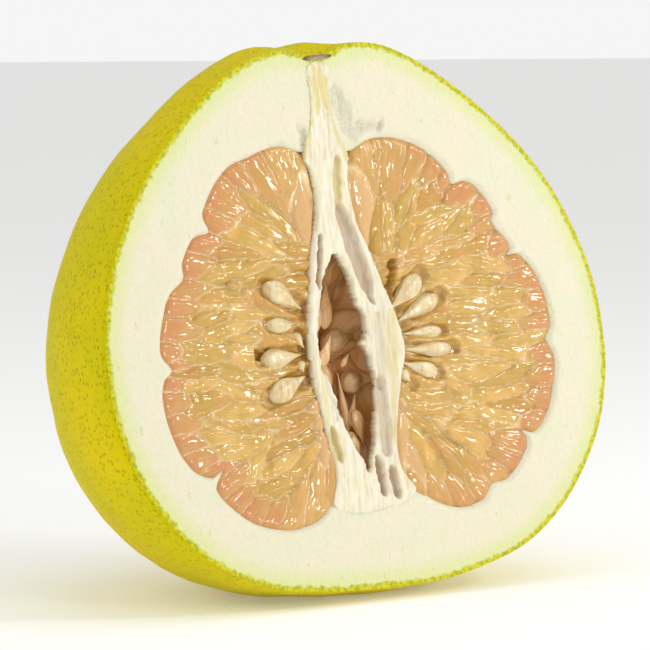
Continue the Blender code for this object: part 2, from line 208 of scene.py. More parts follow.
def closed_curve(points: Sequence[Point], steps: int) -> list[Vector]:
    """Read points on a smooth closed curve.

    Args:
        points: The curve's own points.
        steps: How many points each span gives.

    Returns:
        The points in order.
    """
    knots = [Vector(point) for point in points]
    count = len(knots)
    curve = []
    for index in range(count):
        span = (knots[index - 1], knots[index], knots[(index + 1) % count], knots[(index + 2) % count])
        curve += [hermite(*span, step / steps) for step in range(steps)]
    return curve


def curve_rows(points: Sequence[Point], steps: int) -> np.ndarray:
    """Read a smooth closed curve as rows of across and up."""
    return np.array([tuple(point) for point in closed_curve(points, steps)])


def smooth_step(low: float, high: float, value: float) -> float:
    """Rise smoothly from 0 at low to 1 at high."""
    share = max(0.0, min(1.0, (value - low) / (high - low)))
    return share * share * (3.0 - 2.0 * share)


def rough(across: float, into: float, up: float, size: float) -> float:
    """Read soft noise of the given grain size, from about -1 to 1."""
    return noise.noise(Vector((across / size, into / size, up / size)))


def distance_to_line(point: Vector, start: Vector, end: Vector) -> float:
    """Return the distance from a point to a straight piece of line.

    Args:
        point: A place in the cut face.
        start: The line's first end.
        end: The line's other end.

    Returns:
        The distance.
    """
    along = end - start
    share = max(0.0, min(1.0, (point - start).dot(along) / along.length_squared))
    return (point - start - along * share).length


def soften(values: np.ndarray) -> np.ndarray:
    """Round off both ends of ramps from 0 to 1."""
    return values * values * (3.0 - 2.0 * values)


def waves(points: np.ndarray, size: float) -> np.ndarray:
    """Return a soft sideways shift for each point."""
    return np.array([(rough(a, 1.0, b, size), rough(a, 8.0, b, size)) for a, b in points])


def measure_line(points: np.ndarray, start: Sequence[float], end: Sequence[float]
                 ) -> tuple[np.ndarray, np.ndarray]:
    """Measure many points against a straight piece of line.

    Args:
        points: Places in the cut face, one row each.
        start: The line's first end.
        end: The line's other end.

    Returns:
        The share along the line and the distance from it, for each point.
    """
    first, along = np.array(start), np.array(end) - np.array(start)
    share = np.clip((points - first) @ along / (along @ along), 0.0, 1.0)
    return share, np.linalg.norm(points - first - share[:, None] * along, axis=1)


def extrude_ring(bm: bmesh.types.BMesh, ring: Sequence[bmesh.types.BMEdge]
                 ) -> tuple[list[bmesh.types.BMVert], list[bmesh.types.BMEdge], list[bmesh.types.BMFace]]:
    """Extrude a ring of edges.

    Args:
        bm: The mesh.
        ring: The edges to extrude.

    Returns:
        The new points, the new ring and the faces between the two rings.
    """
    made = bmesh.ops.extrude_edge_only(bm, edges=ring)["geom"]
    verts = [item for item in made if isinstance(item, bmesh.types.BMVert)]
    fresh = set(verts)
    edges = [item for item in made if isinstance(item, bmesh.types.BMEdge)
             and item.verts[0] in fresh and item.verts[1] in fresh]
    return verts, edges, [item for item in made if isinstance(item, bmesh.types.BMFace)]


@dataclass(frozen=True)
class PolarEdge:
    """A closed outline read by angle round the middle of the cut face."""

    angles: tuple[float, ...]
    radii: tuple[float, ...]

    @classmethod
    def around(cls, points: Sequence[Point], tilt: float = 0.0) -> "PolarEdge":
        """Make the polar form of an outline.

        Args:
            points: The outline's own points.
            tilt: The angle that counts as zero.

        Returns:
            The polar outline.
        """
        centre = Vector(CUT_CENTRE)
        pairs = []
        for point in closed_curve(points, 6):
            offset = point - centre
            pairs.append(((math.atan2(offset.y, offset.x) - tilt) % math.tau, offset.length))
        pairs.sort()
        return cls(tuple(pair[0] for pair in pairs), tuple(pair[1] for pair in pairs))

    def radius(self, angle: float) -> float:
        """Read the outline's radius at an angle.

        Args:
            angle: The angle round the middle of the cut face.

        Returns:
            The radius.
        """
        angle %= math.tau
        after = bisect_right(self.angles, angle) % len(self.angles)
        low = self.angles[after - 1]
        gap = (self.angles[after] - low) % math.tau
        share = ((angle - low) % math.tau) / gap if gap else 0.0
        return self.radii[after - 1] + share * (self.radii[after] - self.radii[after - 1])


@dataclass(frozen=True)
class FruitSkin:
    """The outer surface: the cut edge turned round the stem axis, with a bulge behind it."""

    back_bulge: float = 5.7
    towards_stem: float = -1.5
    off_equator: float = -3.5
    shoulder: float = -1.0
    left_upper: float = -2.9
    stem_dip: float = 3.9
    dip_spread: float = math.radians(6.3)
    lump_height: float = 1.5
    lump_at: float = math.radians(15.0)
    lump_spread: float = math.radians(7.0)
    edge: PolarEdge = field(default_factory=lambda: PolarEdge.around(CUT_EDGE, STEM_TILT))

    def radius(self, latitude: float, longitude: float) -> float:
        """Return the skin's radius from the middle of the cut face.

        Args:
            latitude: Angle from the equator towards the stem.
            longitude: Angle round the stem axis, from the right.

        Returns:
            The radius.
        """
        towards_right = (1.0 + math.cos(longitude)) / 2.0
        right = self.edge.radius(latitude)
        left = self.edge.radius(math.pi - latitude)
        bulge = (self.back_bulge + self.towards_stem * math.sin(latitude)
                 + self.off_equator * math.cos(2.0 * latitude) + self.shoulder * math.sin(3.0 * latitude)
                 + self.left_upper * math.cos(longitude) * math.sin(latitude))
        behind = abs(math.sin(longitude))
        bulge *= behind * math.cos(latitude)
        from_stem = math.pi / 2.0 - latitude
        dip = self.stem_dip * math.exp(-(from_stem / self.dip_spread) ** 2)
        off_lumps = (from_stem - self.lump_at) / self.lump_spread
        lump = self.lump_height * math.exp(-off_lumps * off_lumps)
        lump *= behind * (0.7 + 0.5 * math.cos(5.0 * longitude + 0.6))
        return right * towards_right + left * (1.0 - towards_right) + bulge - dip + lump


def finish_piece(name: str, bm: bmesh.types.BMesh, materials: Sequence[bpy.types.Material],
                 stands_for: Sequence[str] = ()) -> bpy.types.Object:
    """Turn a bmesh in fruit millimetres into a riding piece at the origin.

    Args:
        name: The piece's name.
        bm: The mesh, which is freed.
        materials: The piece's materials, in slot order.
        stands_for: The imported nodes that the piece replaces.

    Returns:
        The new object.
    """
    bmesh.ops.recalc_face_normals(bm, faces=bm.faces)
    bmesh.ops.transform(bm, matrix=AXES.to_frame(), verts=bm.verts)
    for face in bm.faces:
        face.smooth = True
    mesh = bpy.data.meshes.new(name)
    bm.to_mesh(mesh)
    bm.free()
    for material in materials:
        mesh.materials.append(material)
    piece = bpy.data.objects.new(name, mesh)
    bpy.context.scene.collection.objects.link(piece)
    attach(piece, BODY)
    if stands_for:
        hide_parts(*stands_for)
    LOG.info("%s: %d faces, stands for %s", name, len(mesh.polygons), ", ".join(stands_for) or "nothing")
    return piece


class Nodes:
    """A small helper that adds and links shader nodes in one tree."""

    def __init__(self, tree: bpy.types.NodeTree) -> None:
        """Start on a tree."""
        self.tree = tree

    def add(self, kind: str, **settings: object) -> bpy.types.Node:
        """Add a node and set its properties.

        Args:
            kind: The node type.
            **settings: Properties by name.

        Returns:
            The node.
        """
        node = self.tree.nodes.new(kind)
        for key, value in settings.items():
            setattr(node, key, value)
        return node

    def feed(self, socket: bpy.types.NodeSocket, source: object) -> None:
        """Link a socket to a source, or set its value.

        Args:
            socket: The socket to feed.
            source: A socket to link, or a value to set.
        """
        if isinstance(source, bpy.types.NodeSocket):
            self.tree.links.new(source, socket)
        elif isinstance(source, tuple) and len(source) == 3 and socket.type == "RGBA":
            socket.default_value = (*source, 1.0)
        else:
            socket.default_value = source

    def math(self, operation: str, first: object, second: object) -> bpy.types.NodeSocket:
        """Add a Math node and return its output.

        Args:
            operation: The node's operation.
            first: The first value.
            second: The second value.

        Returns:
            The node's output.
        """
        node = self.add("ShaderNodeMath", operation=operation)
        self.feed(node.inputs[0], first)
        self.feed(node.inputs[1], second)
        return node.outputs[0]

    def mix(self, share: object, first: object, second: object) -> bpy.types.NodeSocket:
        """Mix two colours and return the result.

        Args:
            share: How much of the second one shows.
            first: The first value.
            second: The second value.

        Returns:
            The mixed colour.
        """
        node = self.add("ShaderNodeMix", data_type="RGBA")
        self.feed(node.inputs[0], share)
        self.feed(node.inputs[6], first)
        self.feed(node.inputs[7], second)
        return node.outputs[2]

    def ramp(self, value: object, low: float, high: float) -> bpy.types.NodeSocket:
        """Rise smoothly from 0 to 1 while a value goes from low to high.

        Args:
            value: The value to read.
            low: Where the rise starts.
            high: Where the rise ends.

        Returns:
            The risen value.
        """
        node = self.add("ShaderNodeMapRange", interpolation_type="SMOOTHSTEP")
        self.feed(node.inputs[0], value)
        node.inputs[1].default_value = low
        node.inputs[2].default_value = high
        return node.outputs[0]

    def noise(self, vector: object, scale: float, detail: float = 3.0, roughness: float = 0.55
              ) -> bpy.types.NodeSocket:
        """Read noise at a vector.

        Args:
            vector: The coordinates.
            scale: The scale.
            detail: How many finer layers it has.
            roughness: How strong the finer layers are.

        Returns:
            The noise.
        """
        node = self.add("ShaderNodeTexNoise")
        self.feed(node.inputs["Vector"], vector)
        node.inputs["Scale"].default_value = scale
        node.inputs["Detail"].default_value = detail
        node.inputs["Roughness"].default_value = roughness
        return node.outputs["Fac"]

    def attribute(self, name: str) -> bpy.types.NodeSocket:
        """Read a number stored on the mesh."""
        return self.add("ShaderNodeAttribute", attribute_name=name).outputs["Fac"]

    def stretched(self, vector: object, scale: tuple[float, float, float],
                  turn: tuple[float, float, float] = (0.0, 0.0, 0.0)) -> bpy.types.NodeSocket:
        """Stretch and turn a vector.

        Args:
            vector: The coordinates.
            scale: The scale.
            turn: The turn in radians.

        Returns:
            The new coordinates.
        """
        node = self.add("ShaderNodeMapping")
        self.feed(node.inputs["Vector"], vector)
        node.inputs["Rotation"].default_value = turn
        node.inputs["Scale"].default_value = scale
        return node.outputs[0]


class Finish:
    """A material under construction: a Principled shader fed with fruit millimetres."""

    def __init__(self, name: str) -> None:
        """Start the material with its shader and its coordinates.

        Args:
            name: The material's name.
        """
        self.material = bpy.data.materials.new(name)
        self.material.use_nodes = True
        self.nodes = Nodes(self.material.node_tree)
        self.shader = self.material.node_tree.nodes["Principled BSDF"]
        coordinates = self.nodes.add("ShaderNodeTexCoord")
        mapping = self.nodes.add("ShaderNodeMapping")
        place, turn, scale = AXES.mapping()
        mapping.inputs["Location"].default_value = place
        mapping.inputs["Rotation"].default_value = turn
        mapping.inputs["Scale"].default_value = scale
        self.nodes.feed(mapping.inputs["Vector"], coordinates.outputs["Object"])
        self.place = mapping.outputs[0]

    def set(self, **values: object) -> None:
        """Set or link the shader's sockets, named with underscores for spaces."""
        for key, value in values.items():
            self.nodes.feed(self.shader.inputs[key.replace("_", " ")], value)

    def bump(self, height: object, distance: float, strength: float = 1.0) -> None:
        """Feed the shader's normal from a height in fruit terms.

        Args:
            height: The height.
            distance: The height's depth in millimetres.
            strength: How strongly it shows.
        """
        node = self.nodes.add("ShaderNodeBump")
        node.inputs["Distance"].default_value = distance * MM
        node.inputs["Strength"].default_value = strength
        self.nodes.feed(node.inputs["Height"], height)
        self.nodes.feed(self.shader.inputs["Normal"], node.outputs[0])

    def group(self, tree: bpy.types.NodeTree, **values: object) -> bpy.types.Node:
        """Place a node group and feed its inputs.

        Args:
            tree: The node group.
            **values: Input values by name.

        Returns:
            The group node.
        """
        node = self.nodes.add("ShaderNodeGroup", node_tree=tree)
        for key, value in values.items():
            self.nodes.feed(node.inputs[key.replace("_", " ")], value)
        return node


class Groups:
    """The node groups that several finishes share."""

    def __init__(self) -> None:
        """Build each group once."""
        self.glands = self._glands()
        self.mottle = self._mottle()

    @staticmethod
    def _start(name: str, inputs: Iterable[tuple[str, str]], outputs: Iterable[tuple[str, str]]
               ) -> tuple[Nodes, bpy.types.Node, bpy.types.Node]:
        """Make an empty group with named sockets.

        Args:
            name: The group's name.
            inputs: Name and socket type of each input.
            outputs: Name and socket type of each output.

        Returns:
            The node helper, the input node and the output node.
        """
        tree = bpy.data.node_groups.new(name, "ShaderNodeTree")
        for label, kind in inputs:
            tree.interface.new_socket(name=label, in_out="INPUT", socket_type=kind)
        for label, kind in outputs:
            tree.interface.new_socket(name=label, in_out="OUTPUT", socket_type=kind)
        nodes = Nodes(tree)
        return nodes, nodes.add("NodeGroupInput"), nodes.add("NodeGroupOutput")

    def _glands(self) -> bpy.types.NodeTree:
        """Oil glands: round dots of uneven size, with a mask and a dimple height.

        Returns:
            The node group.
        """
        nodes, entry, leave = self._start(
            "oil_glands", [("Vector", "NodeSocketVector"), ("Spacing", "NodeSocketFloat")],
            [("Mask", "NodeSocketFloat"), ("Height", "NodeSocketFloat")])
        scale = nodes.math("DIVIDE", 1.0, entry.outputs["Spacing"])
        cells = nodes.add("ShaderNodeTexVoronoi", feature="F1")
        nodes.feed(cells.inputs["Vector"], entry.outputs["Vector"])
        nodes.feed(cells.inputs["Scale"], scale)
        cells.inputs["Randomness"].default_value = 0.8
        dot = nodes.math("SUBTRACT", 1.0, nodes.ramp(cells.outputs["Distance"], 0.12, 0.42))
        nodes.feed(leave.inputs["Mask"], dot)
        nodes.feed(leave.inputs["Height"], nodes.math("SUBTRACT", 1.0, dot))
        return nodes.tree

    def _mottle(self) -> bpy.types.NodeTree:
        """Soft patches of two colours at two scales.

        Returns:
            The node group.
        """
        nodes, entry, leave = self._start(
            "mottle", [("Vector", "NodeSocketVector"), ("Patch", "NodeSocketFloat"),
                       ("First", "NodeSocketColor"), ("Second", "NodeSocketColor")],
            [("Color", "NodeSocketColor"), ("Mask", "NodeSocketFloat")])
        scale = nodes.math("DIVIDE", 1.0, entry.outputs["Patch"])
        patch = nodes.add("ShaderNodeTexNoise")
        nodes.feed(patch.inputs["Vector"], entry.outputs["Vector"])
        nodes.feed(patch.inputs["Scale"], scale)
        patch.inputs["Detail"].default_value = 4.0
        mask = nodes.ramp(patch.outputs["Fac"], 0.36, 0.64)
        nodes.feed(leave.inputs["Color"], nodes.mix(mask, entry.outputs["First"], entry.outputs["Second"]))
        nodes.feed(leave.inputs["Mask"], mask)
        return nodes.tree


@dataclass(frozen=True)
class RindFinish:
    """Waxy yellow skin with darker oil glands, and a painted sheen that pales it towards the outline."""

    yellow: Colour = (0.76, 0.60, 0.002)
    green_yellow: Colour = (0.64, 0.57, 0.003)
    gland: Colour = (0.40, 0.33, 0.002)
    painted_edge_sheen: Colour = (0.76, 0.62, 0.035)
    spacing: float = 1.55

    def make(self, groups: Groups) -> bpy.types.Material:
        """Build the material.

        Args:
            groups: The shared node groups.

        Returns:
            The material.
        """
        finish = Finish("rind_skin")
        nodes = finish.nodes
        base = finish.group(groups.mottle, Vector=finish.place, Patch=26.0, First=self.yellow,
                            Second=self.green_yellow)
        warp = nodes.noise(finish.place, 0.35)
        dots = finish.group(groups.glands, Vector=finish.place, Spacing=self.spacing)
        depth = nodes.math("MULTIPLY", dots.outputs["Mask"], nodes.ramp(warp, 0.2, 0.7))
        colour = nodes.mix(nodes.math("MULTIPLY", depth, 0.95), base.outputs["Color"], self.gland)
        # Painted sheen: the skin pales towards the outline, where the bright surround would reflect.
        facing = nodes.add("ShaderNodeLayerWeight")
        facing.inputs["Blend"].default_value = 0.12
        colour = nodes.mix(nodes.math("MULTIPLY", facing.outputs["Facing"], 0.7), colour, self.painted_edge_sheen)
        finish.set(Base_Color=colour, Roughness=0.5, Specular_IOR_Level=0.02)
        pores = nodes.noise(finish.place, 1.6)
        height = nodes.math("ADD", dots.outputs["Height"], nodes.math("MULTIPLY", pores, 0.4))
        finish.bump(height, 0.22)
        return finish.material


@dataclass(frozen=True)
class PithFinish:
    """The cut face: a narrow gland band under the skin, fading through green-tinted cream to pith."""

    band: Colour = (0.70, 0.66, 0.006)
    band_dark: Colour = (0.44, 0.44, 0.006)
    green_cream: Colour = (0.74, 0.80, 0.30)
    cream: Colour = (0.84, 0.82, 0.60)
    pink_cream: Colour = (0.88, 0.81, 0.62)
    shaded: Colour = (0.72, 0.70, 0.46)
    fleck: Colour = (0.58, 0.66, 0.14)
    grey: Colour = (0.68, 0.63, 0.50)

    def make(self, groups: Groups) -> bpy.types.Material:
        """Build the material.

        Args:
            groups: The shared node groups.

        Returns:
            The material.
        """
        finish = Finish("cut_pith")
        nodes = finish.nodes
        depth = nodes.attribute("skin_depth")
        edge_noise = nodes.noise(finish.place, 0.75, 2.0)
        teeth = nodes.noise(finish.place, 0.5, 3.0)
        ragged = nodes.math("ADD", depth, nodes.math("MULTIPLY", nodes.math("SUBTRACT", teeth, 0.5), 3.0))
        pith = finish.group(groups.mottle, Vector=finish.place, Patch=9.0, First=self.cream,
                            Second=self.pink_cream)
        green = nodes.math("SUBTRACT", 1.0, nodes.ramp(ragged, 1.2, 8.0))
        grain = nodes.noise(finish.place, 1.3, 5.0, 0.7)
        grained = nodes.mix(nodes.math("MULTIPLY", nodes.ramp(grain, 0.5, 0.75), 0.5),
                            pith.outputs["Color"], self.shaded)
        colour = nodes.mix(nodes.math("MULTIPLY", green, 0.75), grained, self.green_cream)
        streaks = nodes.noise(nodes.stretched(finish.place, (0.5, 0.5, 0.24), (0.0, 0.6, 0.0)), 1.0, 6.0)
        colour = nodes.mix(nodes.math("MULTIPLY", nodes.ramp(streaks, 0.63, 0.72), 0.6), colour, self.fleck)
        inner = nodes.math("SUBTRACT", 1.0, nodes.ramp(ragged, 0.9, 1.9))
        band = nodes.mix(nodes.ramp(edge_noise, 0.4, 0.62), self.band, self.band_dark)
        colour = nodes.mix(inner, colour, band)
        torn = nodes.attribute("torn")
        cotton = nodes.noise(finish.place, 1.1, 6.0, 0.7)
        colour = nodes.mix(nodes.math("MULTIPLY", torn, nodes.ramp(cotton, 0.3, 0.7)), colour, self.grey)
        finish.set(Base_Color=colour, Roughness=0.78, Subsurface_Weight=0.15, Subsurface_Scale=0.003)
        finish.shader.inputs["Subsurface Radius"].default_value = (1.0, 0.8, 0.5)
        fibres = nodes.noise(finish.place, 0.55, 7.0, 0.68)
        finish.bump(fibres, 0.9, 0.8)
        return finish.material


@dataclass(frozen=True)
class SacFinish:
    """Wet, translucent juice sacs: salmon bulbs, amber middles, straw tails and pale seams, with painted
    shade: olive on sunk sacs, dark in the seed pits.
    """

    name: str = "juice_sac"
    bulb: Colour = (0.59, 0.21, 0.04)
    amber: Colour = (0.60, 0.29, 0.042)
    straw: Colour = (0.76, 0.46, 0.11)
    olive: Colour = (0.50, 0.30, 0.028)
    peach: Colour = (0.78, 0.48, 0.24)
    seam: Colour = (0.95, 0.76, 0.42)
    dark: Colour = (0.40, 0.20, 0.03)
    wetness: float = 1.0

    def make(self, groups: Groups) -> bpy.types.Material:
        """Build the material.

        Args:
            groups: The shared node groups.

        Returns:
            The material.
        """
        finish = Finish(self.name)
        nodes = finish.nodes
        along, tint = nodes.attribute("along"), nodes.attribute("tint")
        body = nodes.mix(nodes.ramp(tint, 0.05, 0.6), self.straw, self.amber)
        deep = finish.group(groups.mottle, Vector=finish.place, Patch=6.0, First=body, Second=self.olive)
        colour = nodes.mix(0.6, body, deep.outputs["Color"])
        # Painted shade: olive on sacs that sit low in the cut.
        low = nodes.attribute("low")
        colour = nodes.mix(nodes.math("MULTIPLY", low, 0.6), colour, self.olive)
        blush = nodes.ramp(nodes.noise(finish.place, 0.16, 2.0), 0.35, 0.6)
        border = nodes.math("MULTIPLY", nodes.ramp(along, 0.12, 0.9), nodes.ramp(tint, 0.15, 0.8))
        blushing = nodes.math("ADD", 0.35, nodes.math("MULTIPLY", blush, 0.65))
        border = nodes.math("MULTIPLY", border, blushing)
        colour = nodes.mix(border, colour, self.bulb)
        colour = nodes.mix(nodes.math("MULTIPLY", nodes.attribute("calm"), 0.55), colour, self.peach)
        veins = nodes.noise(finish.place, 0.45, 2.0)
        lines = nodes.math("MULTIPLY", nodes.attribute("seam"), nodes.ramp(veins, 0.25, 0.5))
        colour = nodes.mix(nodes.math("MULTIPLY", lines, 0.85), colour, self.seam)
        # Painted shade: darker in the pits round the seeds.
        colour = nodes.mix(nodes.attribute("shade"), colour, self.dark)
        finish.set(Base_Color=colour, Roughness=0.3, IOR=1.38, Coat_Weight=self.wetness,
                   Coat_Roughness=0.04, Subsurface_Weight=0.2, Subsurface_Scale=0.002)
        finish.shader.inputs["Subsurface Radius"].default_value = (1.0, 0.5, 0.18)
        ripple = nodes.noise(finish.place, 0.7, 2.0)
        finish.bump(ripple, 0.4, 0.4)
        return finish.material


@dataclass(frozen=True)
class PlainTissueFinish:
    """A matt tissue of two mottled colours, with a darker tint where the mesh asks for it."""

    name: str
    first: Colour
    second: Colour
    dark: Colour
    streak: Colour
    accent: Colour = (0.72, 0.60, 0.22)
    patch: float = 3.0
    grain: float = 1.0
    roughness: float = 0.6
    coat: float = 0.0

    def make(self, groups: Groups) -> bpy.types.Material:
        """Build the material.

        Args:
            groups: The shared node groups.

        Returns:
            The material.
        """
        finish = Finish(self.name)
        nodes = finish.nodes
        base = finish.group(groups.mottle, Vector=finish.place, Patch=self.patch, First=self.first,
                            Second=self.second)
        lanes = nodes.noise(nodes.stretched(finish.place, (0.9, 0.9, 0.12)), 1.0, 5.0)
        colour = nodes.mix(nodes.ramp(lanes, 0.45, 0.72), base.outputs["Color"], self.streak)
        colour = nodes.mix(nodes.attribute("accent"), colour, self.accent)
        colour = nodes.mix(nodes.attribute("shade"), colour, self.dark)
        finish.set(Base_Color=colour, Roughness=self.roughness, Coat_Weight=self.coat,
                   Coat_Roughness=0.15, Subsurface_Weight=0.2, Subsurface_Scale=0.003)
        fibres = nodes.noise(nodes.stretched(finish.place, (1.0, 1.0, 0.35)), self.grain, 5.0, 0.65)
        finish.bump(fibres, 0.3, 0.6)
        return finish.material


COLUMN_PITH = PlainTissueFinish(
    "column_pith", first=(0.86, 0.82, 0.66), second=(0.84, 0.79, 0.56), dark=(0.36, 0.16, 0.09),
    streak=(0.74, 0.61, 0.46), patch=4.0, grain=0.8, roughness=0.7)
# Painted shade: a browner copy of the juice-sac finish for the same flesh deep in the hollow.
SHADED_HOLLOW_SAC = SacFinish(
    "deep_sac", bulb=(0.70, 0.31, 0.085), amber=(0.72, 0.36, 0.085), straw=(0.80, 0.45, 0.16),
    olive=(0.52, 0.27, 0.05), peach=(0.76, 0.38, 0.18), seam=(0.88, 0.60, 0.28), wetness=0.6)
MEMBRANE = PlainTissueFinish(
    "hollow_membrane", first=(0.76, 0.47, 0.20), second=(0.66, 0.36, 0.13), dark=(0.5, 0.3, 0.12),
    streak=(0.84, 0.60, 0.32), patch=4.0, grain=1.0, roughness=0.35, coat=0.4)
SEED_COAT = PlainTissueFinish(
    "seed_coat", first=(0.76, 0.60, 0.30), second=(0.82, 0.70, 0.44), dark=(0.50, 0.32, 0.10),
    streak=(0.66, 0.46, 0.19), patch=2.5, grain=0.9, roughness=0.3, coat=0.6)
# Painted shade: a darker, browner copy of the seed coat for the seeds deep in the hollow.
SHADED_SEED_COAT = PlainTissueFinish(
    "painted_shade_seed_coat", first=(0.66, 0.40, 0.18), second=(0.74, 0.50, 0.25), dark=(0.40, 0.20, 0.07),
    streak=(0.56, 0.31, 0.12), patch=3.0, grain=0.9, roughness=0.4, coat=0.25)
CALYX_CRUST = PlainTissueFinish(
    "calyx_crust", first=(0.10, 0.05, 0.02), second=(0.20, 0.12, 0.05), dark=(0.62, 0.50, 0.28),
    streak=(0.16, 0.10, 0.04), patch=0.8, grain=2.5, roughness=0.85)


@dataclass
class Peel:
    """Skin, pith and the walls of the flesh cavity, as one closed body."""

    skin: FruitSkin
    rings: int = 480
    turns: int = 180
    cavity_depth: float = 30.0
    stops: tuple[float, ...] = (0.35, 0.8, 1.3, 1.9, 2.6, 3.5, 4.6, 6.0)
    inner_rings: int = 20

    def build(self) -> bmesh.types.BMesh:
        """Model the peel.

        Returns:
            The closed mesh, with material 0 outside and material 1 on the cut face and in the cavity.
        """
        bm = bmesh.new()
        depth_layer = bm.verts.layers.float.new("skin_depth")
        torn_layer = bm.verts.layers.float.new("torn")
        bmesh.ops.create_uvsphere(bm, u_segments=self.turns, v_segments=self.rings, radius=1.0)
        geometry = bm.verts[:] + bm.edges[:] + bm.faces[:]
        bmesh.ops.bisect_plane(bm, geom=geometry, dist=1e-5, plane_co=(0.0, 0.0, 0.0),
                               plane_no=(0.0, -1.0, 0.0), clear_outer=True)
        for vert in bm.verts:
            latitude = math.asin(max(-1.0, min(1.0, vert.co.z)))
            longitude = math.atan2(max(0.0, vert.co.y), vert.co.x)
            vert.co *= self.skin.radius(latitude, longitude)
        bmesh.ops.rotate(bm, verts=bm.verts, matrix=Matrix.Rotation(-STEM_TILT, 3, "Y"))
        bmesh.ops.translate(bm, verts=bm.verts, vec=(CUT_CENTRE[0], 0.0, CUT_CENTRE[1]))
        self._undulate(bm)
        self._flatten_foot(bm)
        rim = [edge for edge in bm.edges if edge.is_boundary]
        self._cut_face(bm, rim, depth_layer, torn_layer)
        return bm

    @staticmethod
    def _undulate(bm: bmesh.types.BMesh) -> None:
        """Give the skin the shallow unevenness of a real rind, fading out at the cut edge.

        Args:
            bm: The mesh, in fruit millimetres.
        """
        for vert in bm.verts:
            fade = smooth_step(0.0, 6.0, vert.co.y)
            swell = 0.35 * rough(*vert.co, 14.0) + 0.16 * rough(*vert.co, 5.0)
            vert.co += (vert.co - Vector((CUT_CENTRE[0], 0.0, CUT_CENTRE[1]))).normalized() * swell * fade

    @staticmethod
    def _flatten_foot(bm: bmesh.types.BMesh) -> None:
        """Press the skin flat where the fruit stands.

        Args:
            bm: The mesh, in fruit millimetres.
        """
        to_frame = AXES.to_frame()
        back = to_frame.inverted()
        for vert in bm.verts:
            if vert.co.z > 30.0:
                continue
            standing = to_frame @ vert.co
            if standing.z < 0.0:
                standing.z = 0.0
                vert.co = back @ standing

    def _cut_face(self, bm: bmesh.types.BMesh, rim: list[bmesh.types.BMEdge],
                  depth_layer: bmesh.types.BMLayerItem, torn_layer: bmesh.types.BMLayerItem) -> None:
        """Draw the rim inwards across the pith and back into the flesh cavity.

        Args:
            bm: The mesh, in fruit millimetres.
            rim: The open edges of the skin.
            depth_layer: Where the distance from the skin is stored.
            torn_layer: Where the tear is stored.
        """
        flesh = PolarEdge.around(LEFT_OUTER[1:] + RIGHT_OUTER[:-1] + COLUMN_FOOT)
        outer = PolarEdge.around(CUT_EDGE)
        centre = Vector((CUT_CENTRE[0], 0.0, CUT_CENTRE[1]))
        count = len(self.stops) + self.inner_rings
        ring = rim
        for index in range(count + 4):
            verts, ring, faces = extrude_ring(bm, ring)
            for face in faces:
                face.material_index = 1
            for vert in verts:
                angle = math.atan2(vert.co.z - centre.z, vert.co.x - centre.x)
                skin_radius = outer.radius(angle) - self._dip(angle)
                flesh_radius = flesh.radius(angle)
                width = skin_radius - flesh_radius
                radius, back = self._station(index, count, width)
                if index < count:
                    back *= smooth_step(8.0, 15.0, abs(math.degrees(angle) + 92.0))
                direction = Vector((math.cos(angle), 0.0, math.sin(angle)))
                place = centre + direction * (flesh_radius + radius)
                place.y = back
                vert[depth_layer] = width - radius
                if 0.0 <= radius:
                    place.y += self._relief(place, radius, width - radius, vert, torn_layer)
                vert.co = place
        bmesh.ops.contextual_create(bm, geom=ring)

    def dress(self, groups: Groups) -> bpy.types.Object:
        """Build the peel and give it its rind and its cut pith."""
        finishes = [RindFinish().make(groups), PithFinish().make(groups)]
        return finish_piece("peel_body", self.build(), finishes, ["peel"])

    def _dip(self, angle: float) -> float:
        """Return how far the stem dip lowers the cut edge at an angle."""
        from_stem = abs((angle - STEM_TILT - math.pi / 2.0 + math.pi) % math.tau - math.pi)
        return self.skin.stem_dip * math.exp(-(from_stem / self.skin.dip_spread) ** 2)

    def _station(self, index: int, count: int, width: float) -> tuple[float, float]:
        """Place one ring.

        Args:
            index: The ring's number, from the rim inwards.
            count: How many rings lie on the cut face.
            width: The pith's width at this angle.

        Returns:
            Distance outside the flesh outline, and depth behind the cut face.
        """
        if index < len(self.stops):
            return width - self.stops[index], 0.0
        if index < count:
            last = self.stops[-1]
            share = (index - len(self.stops) + 1) / self.inner_rings
            share = 1.0 - (1.0 - share) ** 1.25
            lip = smooth_step(0.86, 1.0, share)
            return (width - last) * (1.0 - share), 0.9 * lip * lip
        wall = index - count
        return ((-0.1, 3.0), (0.3, 9.0), (-1.0, 20.0), (-8.0, self.cavity_depth))[wall]

    @staticmethod
    def _relief(place: Vector, from_flesh: float, from_skin: float, vert: bmesh.types.BMVert,
                torn_layer: bmesh.types.BMLayerItem) -> float:
        """Return the pith's depth change: knife ripples, a torn patch by the neck, and a soft lip.

        Args:
            place: The place in fruit millimetres.
            from_flesh: Its distance outside the flesh. Not used.
            from_skin: Its distance inside the skin.
            vert: The point that stores the tear.
            torn_layer: Where the tear is stored.

        Returns:
            The depth change in millimetres.
        """
        calm = smooth_step(0.0, 3.0, from_skin)
        ripple = 0.16 * rough(place.x, 0.0, place.z, 7.0) + 0.07 * rough(place.x, 4.0, place.z, 1.8)
        point = Vector((place.x, place.z))
        torn = 0.0
        for start, end, reach in TORN_PATCHES:
            away = distance_to_line(point, Vector(start), Vector(end))
            ragged = away + 1.2 * rough(place.x, 9.0, place.z, 2.2)
            torn = max(torn, 1.0 - smooth_step(0.35 * reach, reach, ragged))
        vert[torn_layer] = torn
        cotton = 0.5 * rough(place.x, 2.0, place.z, 1.1) + 0.3 * rough(place.x, 7.0, place.z, 0.6)
        return calm * (ripple + torn * (1.1 + cotton))


@dataclass(frozen=True)
class Pocket:
    """A dent in the column: a line in the cut face with a reach and a depth."""

    start: Point
    end: Point
    reach: float
    depth: float
    shade: float


